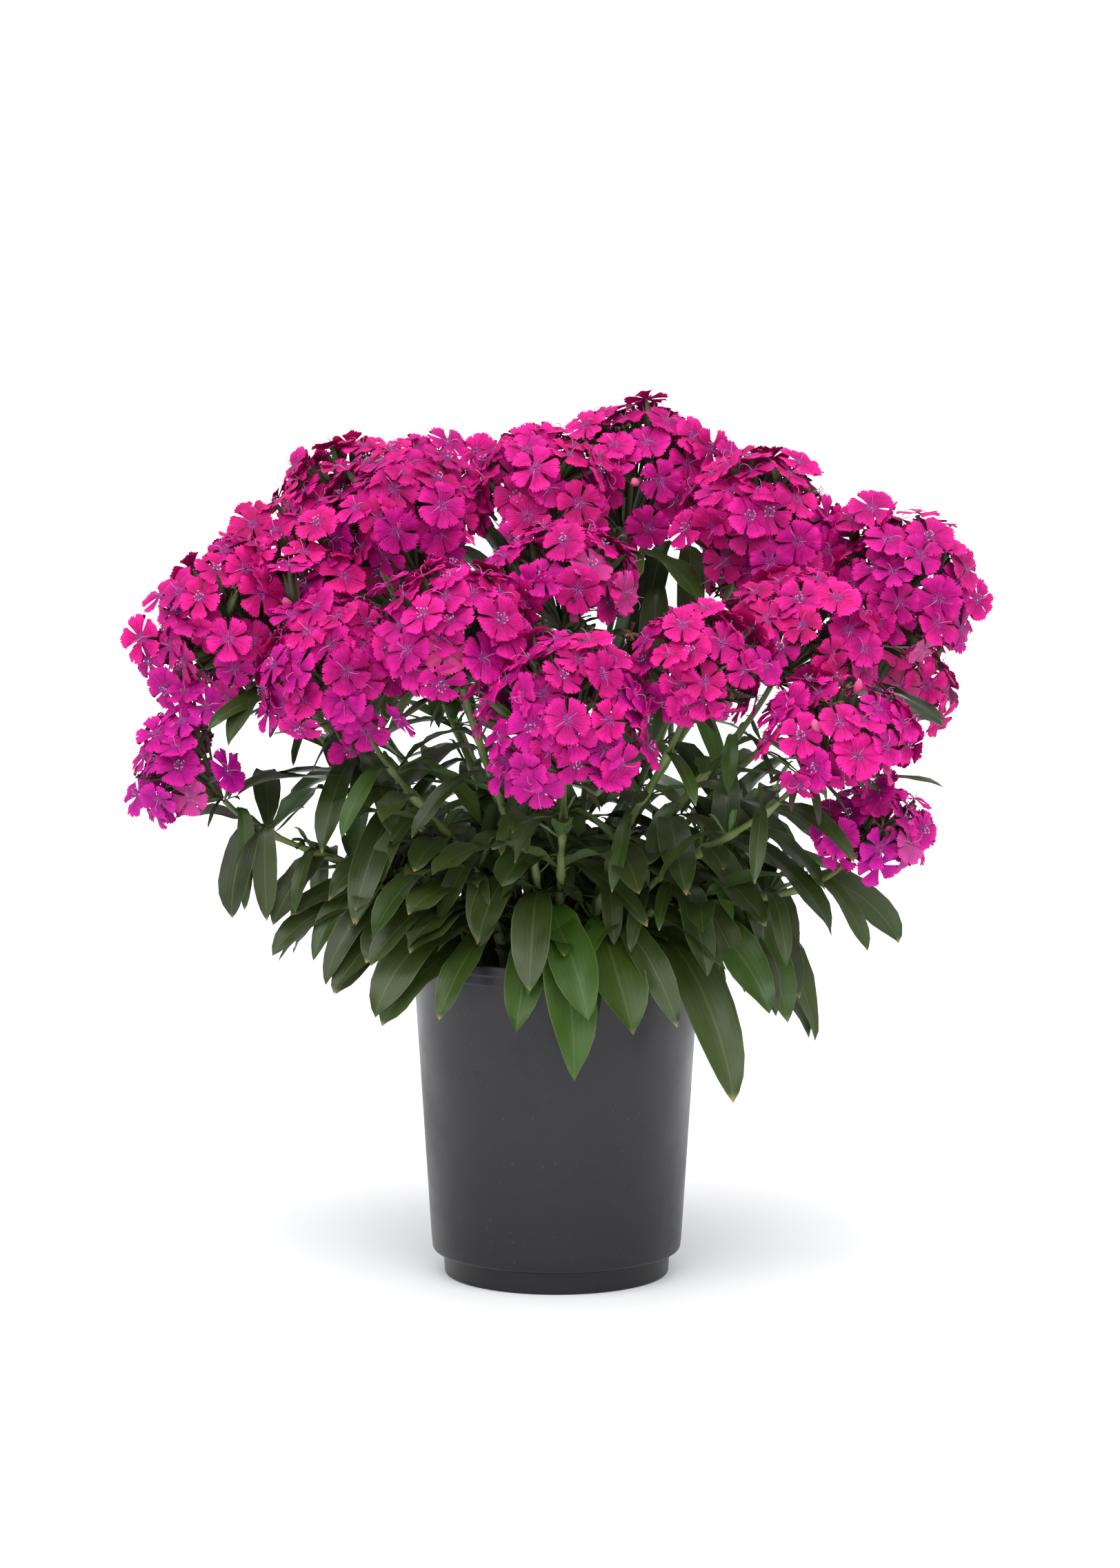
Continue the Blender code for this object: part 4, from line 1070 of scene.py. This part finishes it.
def head_piece(name, materials):
    """One head: flowers spread over its dome, each on its own tube and stalk."""
    draw = random.Random(f"{SEED}_fine_head_{name}")
    x, y, z, half_width, half_height = HEADS[name]
    center = np.array([x, y, z]) * MM
    reach = np.array([half_width, half_width, half_height]) * MM
    axis = np.array(head_axis(name))
    root = np.array(head_neck(name)) + axis * HEAD_ROOT_RISE
    turn = square_to(axis)
    mean = (half_width * 2 + half_height) / 3 * MM
    size = FLOWER_SIZE * min(1.0, 0.75 + 0.25 * mean / FULL_HEAD)
    cap = math.tau * mean**2 * (1.0 - math.cos(HEAD_SPREAD))
    density = BACK_DENSITY if y > BACK_START else FRONT_DENSITY
    count = round(cap / (math.pi * size**2) * density)
    head_tone, head_purple = HEAD_TINTS.get(name, (0.0, 0.2))
    shapes = Shapes()

    def outward(height, spin):
        """A place on the head's dome, by its height from -1 to 1 and its turn."""
        flat = math.sqrt(1.0 - height * height)
        return turn @ np.array([flat * math.cos(spin), flat * math.sin(spin), height])

    def wandered(facing):
        wander = np.array([draw.uniform(-1, 1) for _ in range(3)])
        return unit(facing + FACING_LIFT * np.array(UP) + FACING_WANDER * wander)

    def bloom(middle, facing):
        """A flower, or now and then a bud or a spent flower, with the tube behind it."""
        # Painted shade: the lower a flower sits on its head, the darker and more purple its
        # colour
        low = (center[2] - middle[2]) / reach[2]
        tone = head_tone + draw.uniform(*TONE_SPREAD) - LOW_PAINTED_SHADE * max(0.0, low)
        purple = head_purple + LOW_PAINTED_SHADE_PURPLE * low + draw.uniform(-PURPLE_SPREAD, PURPLE_SPREAD)
        purple = min(1.0, max(0.0, purple))
        kind = draw.random()
        if kind < SPENT_SHARE:
            spent_flower(shapes, middle - facing * SPENT_DEPTH, facing, size, draw)
            depth = SPENT_CALYX_DEPTH
        elif kind < SPENT_SHARE + BUD_SHARE:
            bud(shapes, middle - facing * BUD_DEPTH, facing, size, draw, tone, purple)
            depth = BUD_CALYX_DEPTH
        else:
            age = 0.0 if draw.random() < OLD_SHARE else draw.uniform(*OLD_AGE)
            grown = size * draw.uniform(*FLOWER_STRETCH)
            flower(shapes, middle, facing, grown, draw, tone, purple, age)
            depth = CALYX_DEPTH
        calyx(shapes, middle - facing * depth, facing, root, draw)

    *bare, bare_radius = BARE_SPOTS.get(name, (0, 0, 0, 0))
    for number in range(count):
        height = 1.0 - (number + 0.5) / count * (1.0 - math.cos(HEAD_SPREAD))
        way = outward(height, number * GOLDEN_ANGLE + draw.uniform(-0.25, 0.25))
        middle = center + way * reach * (1.0 - draw.uniform(*FLOWER_SINK))
        facing = wandered(unit(way / reach))
        crowded = inside_heads(middle[None, :], NEIGHBOUR_ROOM, name)
        if not crowded and np.linalg.norm(middle / MM - bare) >= bare_radius:
            bloom(middle, facing)
    for place in LOOSE_FLOWERS.get(name, ()):
        middle = np.array(place) * MM
        bloom(middle, wandered(unit(middle - center) + LOOSE_FACING))
    for _ in range(FILLER_CALYXES):
        way = outward(draw.uniform(math.cos(HEAD_SPREAD), 0.9), draw.uniform(0, math.tau))
        middle = center + way * reach * draw.uniform(*FILLER_DEPTH)
        facing = unit(way / reach)
        calyx(shapes, middle, facing, root, draw)
        if draw.random() < FILLER_SPENT:
            spent_flower(shapes, middle, facing, size, draw)
    for number in range(HEAD_BRACTS):
        out = beside(turn, math.tau * (number + draw.uniform(-0.4, 0.4)) / HEAD_BRACTS)
        out += axis * draw.uniform(*HEAD_BRACT_DROP)
        tip = Vector(root + out * mean * draw.uniform(*HEAD_BRACT_REACH))
        tint = green_tint(draw, CALYX_FRESH)
        base = Vector(root - axis * draw.uniform(0, HEAD_BRACT_DEPTH))
        leaf(shapes, base, tip, draw.uniform(*HEAD_BRACT_WIDTH), tint, draw, CALYX_SLOT)
    dress(shapes.make("head_" + name + "_flowers", materials), "head_" + name)


# The pot and the soil

def ring(radius, height, sides):
    turns = (math.tau * side / sides for side in range(sides))
    return [(radius * math.cos(turn), radius * math.sin(turn), height) for turn in turns]


def turned_piece(name, profile, sides):
    """A closed shape turned from a profile of (radius, height), from the axis to the axis."""
    shape = bmesh.new()
    rings = [[shape.verts.new(point) for point in ring(radius, z, sides if radius else 1)]
             for radius, z in profile]
    for low, high in zip(rings, rings[1:]):
        for side in range(sides):
            after = (side + 1) % sides
            if len(low) == 1:
                corners = low[0], high[after], high[side]
            elif len(high) == 1:
                corners = low[side], low[after], high[0]
            else:
                corners = low[side], low[after], high[after], high[side]
            shape.faces.new(corners)
    mesh = bpy.data.meshes.new(name)
    shape.to_mesh(mesh)
    shape.free()
    return linked(name, mesh)


def rounded(profile, radius, steps=4):
    """The profile with each of its inner corners rounded by a short arc of points."""
    points = [np.array(point, float) for point in profile]
    smooth = [tuple(points[0])]
    for before, corner, after in zip(points, points[1:], points[2:]):
        back, ahead = before - corner, after - corner
        cut = min(radius, 0.45 * min(np.linalg.norm(back), np.linalg.norm(ahead)))
        start, end = corner + unit(back) * cut, corner + unit(ahead) * cut
        for share in np.linspace(0.0, 1.0, steps + 1):
            rest = 1.0 - share
            smooth.append(tuple(start * rest**2 + corner * 2 * share * rest + end * share**2))
    return smooth + [tuple(points[-1])]


def pot_piece(finish):
    neck = POT_HEIGHT - POT_LIP_HEIGHT
    band = neck - POT_BAND_HEIGHT
    profile = [
        (0.0, 0.0),
        (POT_FOOT_RADIUS - 0.8 * MM, 0.0),
        (POT_FOOT_RADIUS, POT_FOOT_HEIGHT),
        (POT_WALL_FOOT_RADIUS - 3.2 * MM, POT_FOOT_HEIGHT),
        (POT_WALL_FOOT_RADIUS - 0.7 * MM, POT_FOOT_HEIGHT + 1.6 * MM),
        (POT_WALL_FOOT_RADIUS, POT_WALL_FOOT_HEIGHT),
        (POT_WALL_TOP_RADIUS - 0.15 * MM, band),
        (POT_WALL_TOP_RADIUS + 0.35 * MM, band + 0.5 * MM),
        (POT_WALL_TOP_RADIUS + 0.3 * MM, neck - 0.4 * MM),
        (POT_LIP_RADIUS, neck + 0.3 * MM),
        (POT_LIP_RADIUS, POT_HEIGHT - 0.4 * MM),
        (POT_LIP_RADIUS - 1.0 * MM, POT_HEIGHT),
        (POT_WALL_TOP_RADIUS - POT_WALL, POT_HEIGHT - 0.3 * MM),
        (POT_WALL_FOOT_RADIUS - POT_WALL, POT_WALL_FOOT_HEIGHT),
        (POT_FOOT_RADIUS - POT_WALL, POT_FOOT_HEIGHT + 1.8 * MM),
        (POT_FOOT_RADIUS - POT_WALL - 0.8 * MM, POT_FLOOR),
        (0.0, POT_FLOOR),
    ]
    pot = turned_piece("grower_pot", rounded(profile, POT_ROUNDING), POT_SIDES)
    holes = bpy.data.meshes.new("drain_cutters")
    cutters = linked("drain_cutters", holes)
    shape = bmesh.new()
    for number in range(DRAIN_HOLES):
        turn = math.tau * (number + 0.5) / DRAIN_HOLES
        place = Vector((DRAIN_CIRCLE * math.cos(turn), DRAIN_CIRCLE * math.sin(turn), 0.0))
        bmesh.ops.create_cone(
            shape, cap_ends=True, segments=DRAIN_SIDES, radius1=DRAIN_RADIUS,
            radius2=DRAIN_RADIUS, depth=6 * POT_FLOOR, matrix=Matrix.Translation(place))
    shape.to_mesh(holes)
    shape.free()
    cut = pot.modifiers.new("drains", "BOOLEAN")
    cut.operation = "DIFFERENCE"
    cut.object = cutters
    cut.solver = "EXACT"
    bpy.context.view_layer.objects.active = pot
    bpy.ops.object.modifier_apply(modifier="drains")
    bpy.data.objects.remove(cutters)
    pot.data.materials.clear()
    pot.data.materials.append(finish)
    pot.data.shade_smooth()
    pot.data.set_sharp_from_angle(angle=POT_SHARP_EDGE)
    dress(pot, "pot")


def soil_piece(finish):
    """The plug of soil: crumbs and lumps on top, in the shape of the pot below."""
    draw = random.Random(f"{SEED}_soil")
    inset = POT_WALL + 0.6 * MM
    wall_height = POT_HEIGHT - POT_LIP_HEIGHT - POT_WALL_FOOT_HEIGHT
    share = (SOIL_TOP - 6 * MM - POT_WALL_FOOT_HEIGHT) / wall_height
    edge = POT_WALL_FOOT_RADIUS + share * (POT_WALL_TOP_RADIUS - POT_WALL_FOOT_RADIUS)
    edge -= inset + 0.4 * MM

    def top(share):
        """The height of the soil at a share of the way out to its edge."""
        return SOIL_TOP - SOIL_DIP * share**3

    profile = [
        (0.0, POT_FLOOR + GAP),
        (POT_FOOT_RADIUS - inset - 1.2 * MM, POT_FLOOR + GAP),
        (POT_FOOT_RADIUS - inset, POT_FOOT_HEIGHT + 2.4 * MM),
        (POT_WALL_FOOT_RADIUS - inset, POT_WALL_FOOT_HEIGHT + 1.0 * MM),
        (edge, SOIL_TOP - 7 * MM),
    ]
    for share in np.linspace(1.0, 0.04, SOIL_RINGS):
        profile.append((edge * share, top(share) - 1.5 * MM))
    profile.append((0.0, SOIL_TOP - 1.5 * MM))
    soil = turned_piece("potting_soil_top", profile, SOIL_SIDES)
    shape = bmesh.new()
    shape.from_mesh(soil.data)
    for vertex in shape.verts:
        place = vertex.co
        if place.z > SOIL_TOP - 6.4 * MM and place.xy.length < edge - 0.5 * MM:
            lump = noise.fractal(place / SOIL_LUMP_SIZE, 0.8, 2.0, 4)
            place.z += SOIL_LUMP_HEIGHT * lump
    for _ in range(CRUMBS):
        share, turn = 0.96 * math.sqrt(draw.random()), draw.uniform(0, math.tau)
        place = Vector((math.cos(turn), math.sin(turn), 0.0)) * edge * share
        place.z = top(share) - 1.0 * MM
        made = bmesh.ops.create_icosphere(
            shape, subdivisions=1, radius=draw.uniform(*CRUMB_RADIUS),
            matrix=Matrix.Translation(place))
        for vertex in made["verts"]:
            away = vertex.co - place
            vertex.co = place + away * (1.0 + 0.5 * noise.noise(vertex.co / CRUMB_GRAIN))
    shape.to_mesh(soil.data)
    shape.free()
    soil.data.materials.append(finish)
    soil.data.shade_smooth()
    dress(soil, "soil")


# Paint

class Paint:
    """One material's nodes, and the colour that its layers have come to so far."""

    def __init__(self, name, roughness, shine=None):
        self.material = bpy.data.materials.new(name)
        self.material.use_nodes = True
        self.tree = self.material.node_tree
        self.shader = self.tree.nodes["Principled BSDF"].inputs
        self.shader["Roughness"].default_value = roughness
        if shine is not None:
            self.shader["Specular IOR Level"].default_value = shine
        self.color = None

    def put(self, socket, value):
        if isinstance(value, bpy.types.NodeSocket):
            self.tree.links.new(value, socket)
        else:
            socket.default_value = (*value, 1.0) if isinstance(value, tuple) else value

    def node(self, kind, *values, **settings):
        """A new node with its settings, and with values or other nodes' outputs in its inputs."""
        node = self.tree.nodes.new("ShaderNode" + kind)
        for setting, value in settings.items():
            setattr(node, setting, value)
        for socket, value in zip(node.inputs, values):
            self.put(socket, value)
        return node

    def attribute(self, layer):
        return self.node("Attribute", attribute_name=layer).outputs

    def values(self, layer):
        """The three values of one of the mesh's paint layers."""
        return self.node("SeparateXYZ", self.attribute(layer)["Vector"]).outputs

    def place(self):
        return self.node("TexCoord").outputs["Object"]

    def joined(self, *values):
        return self.node("CombineXYZ", *values).outputs[0]

    def cloud(self, vector, scale, detail=3.0, rough=0.55):
        return self.node("TexNoise", vector, 0.0, scale, detail, rough).outputs[0]

    def work(self, operation, *values, clamp=False):
        return self.node("Math", *values, operation=operation, use_clamp=clamp).outputs[0]

    def times(self, *values):
        return self.work("MULTIPLY", *values)

    def line(self, value, slope, start):
        """value times slope, plus start."""
        return self.work("MULTIPLY_ADD", value, slope, start)

    def wave(self, value):
        return self.work("ABSOLUTE", self.work("SINE", value))

    def span(self, value, low, high, to_low=0.0, to_high=1.0):
        """The value moved from one span of numbers to another, eased and held at its ends."""
        spans = (value, low, high, to_low, to_high)
        return self.node("MapRange", *spans, interpolation_type="SMOOTHSTEP").outputs[0]

    def mix(self, share, first, second):
        """Makes the colour a mix of two."""
        node = self.node("Mix", share, data_type="RGBA")
        self.put(node.inputs[6], first)
        self.put(node.inputs[7], second)
        self.color = node.outputs[2]

    def over(self, color, share, strength=None):
        """Lays a colour over the colour so far."""
        share = share if strength is None else self.times(share, strength)
        self.mix(share, self.color, color)

    def bump(self, height, strength, distance):
        node = self.node("Bump")
        for socket, value in (("Strength", strength), ("Distance", distance), ("Height", height)):
            self.put(node.inputs[socket], value)
        self.put(self.shader["Normal"], node.outputs[0])

    def done(self):
        self.put(self.shader["Base Color"], self.color)
        return self.material


def petal_paint():
    """Magenta with fine radial veins, a violet throat with pale lines, and paler teeth."""
    paint = Paint("magenta_petal", 0.6, 0.12)
    across, along, _ = paint.values("place")
    tone, purple, age = paint.values("tint")
    patches = paint.line(paint.cloud(paint.place(), 90.0), 0.5, -0.25)
    light = paint.work("ADD", paint.line(tone, 0.5, 0.5), patches, clamp=True)
    paint.mix(light, (0.25, 0.0005, 0.06), (0.68, 0.005, 0.19))
    paint.over((0.4, 0.003, 0.25), purple)
    paint.over((0.85, 0.025, 0.34), paint.span(along, 0.5, 1.0), paint.line(light, 0.35, 0.1))
    waver = paint.cloud(paint.joined(across, paint.times(along, 0.4), tone), 3.0)
    rays = paint.line(across, 11.0, paint.times(waver, 12.0))
    veins = paint.work("POWER", paint.wave(rays), 4.0)
    paint.over((0.13, 0.0003, 0.045), veins, paint.span(along, 1.0, 0.25, 0.08, 0.8))
    paint.over((0.15, 0.002, 0.1), paint.span(along, 0.42, 0.06), 0.75)
    streaks = paint.work("POWER", paint.wave(paint.line(across, 5.0, waver)), 8.0)
    paint.over((0.5, 0.2, 0.42), streaks, paint.span(along, 0.26, 0.1, 0.0, 0.45))
    paint.over((0.62, 0.16, 0.27), age, 0.75)
    paint.bump(veins, 0.25, 0.0003)
    return paint.done()


def thread_paint():
    """Stamens and styles, whose colour is their tint."""
    paint = Paint("lilac_thread", 0.5)
    dark = paint.span(paint.cloud(paint.place(), 900.0), 0.3, 0.7, 0.0, 0.35)
    paint.mix(dark, paint.attribute("tint")["Color"], (0.3, 0.12, 0.3))
    return paint.done()


def calyx_paint():
    """Ribbed green tubes and narrow scales, some of them reddish at their tips, in dark greens
    that are partly painted shade for the gaps between the flowers.
    """
    paint = Paint("calyx_green", 0.55)
    around, along, _ = paint.values("place")
    light, fresh, dry = paint.values("tint")
    # Partly painted shade: the greens are kept dark so that calyxes seen in the gaps between
    # flowers look shadowed
    paint.mix(fresh, (0.012, 0.017, 0.006), (0.06, 0.09, 0.015))
    paint.over((0.04, 0.07, 0.025), paint.line(light, 0.15, 0.15))
    ribs = paint.wave(paint.times(around, 15.7))
    paint.over((0.1, 0.13, 0.035), ribs, 0.25)
    ends = paint.span(along, 0.3, 1.0, 0.0, 0.8)
    paint.over((0.05, 0.018, 0.012), paint.span(dry, 0.2, 0.8), ends)
    paint.bump(ribs, 0.3, 0.0002)
    return paint.done()


def spent_paint():
    """Dry brown petals."""
    paint = Paint("withered_brown", 0.8)
    mottle = paint.cloud(paint.place(), 400.0, 4.0)
    paint.mix(paint.values("tint")[2], (0.05, 0.018, 0.012), (0.17, 0.085, 0.04))
    paint.over((0.07, 0.012, 0.02), paint.span(mottle, 0.35, 0.7))
    paint.bump(mottle, 0.4, 0.0004)
    return paint.done()


def leaf_paint():
    """Dark green blades: pale midrib, faint long veins, thin light edge and yellowish tip."""
    paint = Paint("dianthus_leaf", 0.42, 0.38)
    across, along, side = paint.values("place")
    light, fresh, dry = paint.values("tint")
    clouds = paint.cloud(paint.place(), 55.0, 4.0)
    shade = paint.work("ADD", paint.line(light, 0.42, 0.15), clouds, clamp=True)
    paint.mix(shade, (0.0095, 0.016, 0.0055), (0.036, 0.047, 0.0095))
    paint.over((0.036, 0.086, 0.007), fresh)
    from_rib = paint.work("ABSOLUTE", across)
    waver = paint.cloud(paint.joined(across, along, light), 4.0)
    lines = paint.line(from_rib, 13.0, paint.times(waver, 3.0))
    veins = paint.work("POWER", paint.wave(lines), 10.0)
    paint.over((0.08, 0.13, 0.045), veins, 0.09)
    paint.over((0.055, 0.09, 0.04), paint.span(side, 0.0, -0.6), 0.5)
    paint.over((0.1, 0.15, 0.045), paint.span(from_rib, 0.09, 0.02), 0.32)
    paint.over((0.17, 0.21, 0.075), paint.span(from_rib, 0.94, 1.0), 0.45)
    paint.over((0.28, 0.23, 0.08), paint.span(along, 0.93, 1.0), paint.span(dry, 0.2, 0.9))
    paint.put(paint.shader["Roughness"], paint.span(clouds, 0.3, 0.7, 0.32, 0.5))
    paint.bump(paint.line(veins, 0.3, clouds), 0.2, 0.0004)
    return paint.done()


def stem_paint():
    """Pale green stems, lighter and yellower at their joints and brownish at their feet."""
    paint = Paint("dianthus_stem", 0.5)
    _, along, joint = paint.values("place")
    clouds = paint.cloud(paint.place(), 120.0)
    light = paint.line(paint.values("tint")[0], 0.25, 0.2)
    shade = paint.work("ADD", light, clouds, clamp=True)
    paint.mix(shade, (0.036, 0.058, 0.01), (0.09, 0.13, 0.022))
    paint.over((0.18, 0.22, 0.08), joint, 0.6)
    paint.over((0.14, 0.11, 0.06), paint.span(along, 0.2, 0.0, 0.0, 0.5))
    paint.bump(clouds, 0.15, 0.0004)
    return paint.done()


def plastic_paint():
    """Charcoal plastic: satin, with faint dust and stains, small scuffs and a fine grain, and
    painted shade that darkens it towards the foot.
    """
    paint = Paint("charcoal_plastic", 0.42, 0.38)
    place = paint.place()
    dust = paint.cloud(place, 14.0, 5.0, 0.65)
    specks = paint.cloud(place, 420.0, 2.0)
    dusty = paint.span(dust, 0.4, 0.75, 0.0, 0.5)
    paint.mix(dusty, (0.0095, 0.0094, 0.0135), (0.0195, 0.0193, 0.024))
    stains = paint.cloud(place, 45.0, 4.0)
    paint.over((0.005, 0.005, 0.007), paint.span(stains, 0.54, 0.66, 0.0, 0.4))
    # Painted shade: the colour darkens towards the pot's foot
    height = paint.node("SeparateXYZ", place).outputs["Z"]
    paint.over((0.003, 0.003, 0.004), paint.span(height, 0.12, 0.0, 0.0, 0.85))
    paint.over((0.07, 0.07, 0.07), paint.span(specks, 0.68, 0.78, 0.0, 0.4))
    paint.put(paint.shader["Roughness"], paint.span(dust, 0.3, 0.75, 0.3, 0.5))
    paint.bump(specks, 0.12, 0.0003)
    return paint.done()


def soil_paint():
    """Dark peat with lighter fibres and grains."""
    paint = Paint("peat_soil", 0.95, 0.2)
    place = paint.place()
    clods = paint.cloud(place, 130.0, 6.0, 0.7)
    paint.mix(paint.span(clods, 0.3, 0.75), (0.012, 0.008, 0.005), (0.075, 0.048, 0.03))
    grains = paint.cloud(place, 900.0, 2.0)
    paint.over((0.25, 0.18, 0.12), paint.span(grains, 0.66, 0.8, 0.0, 0.7))
    paint.bump(clods, 0.8, 0.002)
    return paint.done()


def floor_paint():
    paint = Paint("studio_floor", 0.6, 0.3)
    paint.mix(paint.cloud(paint.place(), 3.0), (0.88, 0.885, 0.895), (0.9, 0.905, 0.91))
    return paint.done()


# The studio

def studio():
    """A wide pale floor, a white surround and a soft key light from above."""
    mesh = bpy.data.meshes.new("studio_floor")
    shape = bmesh.new()
    bmesh.ops.create_grid(shape, x_segments=8, y_segments=8, size=FLOOR_SIZE)
    shape.to_mesh(mesh)
    shape.free()
    mesh.materials.append(floor_paint())
    floor = linked("studio_floor", mesh)

    world = bpy.data.worlds.new("white_surround")
    world.use_nodes = True
    back = world.node_tree.nodes["Background"].inputs
    back["Color"].default_value = WORLD_COLOR
    back["Strength"].default_value = WORLD_LIGHT
    bpy.context.scene.world = world

    sun = bpy.data.lights.new("soft_key", "SUN")
    sun.energy = KEY_LIGHT
    sun.angle = KEY_SOFTNESS
    linked("soft_key", sun).rotation_euler = KEY_TURN


def photo_camera():
    lens = bpy.data.cameras.new("photo_camera")
    lens.lens = CAMERA_LENS
    lens.clip_end = CAMERA_REACH
    camera = linked("photo_camera", lens)
    camera.location = CAMERA_PLACE
    camera.rotation_euler = (CAMERA_TILT, 0.0, 0.0)
    bpy.context.scene.camera = camera


def main():
    green = [leaf_paint(), stem_paint()]
    for name in [*("stem_" + head for head in HEADS), *("shoot_" + shoot for shoot in SHOOTS)]:
        stem_piece(name, green)
    bloom = [petal_paint(), thread_paint(), calyx_paint(), spent_paint()]
    for name in HEADS:
        head_piece(name, bloom)
    pot_piece(plastic_paint())
    soil_piece(soil_paint())
    studio()
    photo_camera()
    bpy.context.scene.view_settings.view_transform = "Standard"


main()
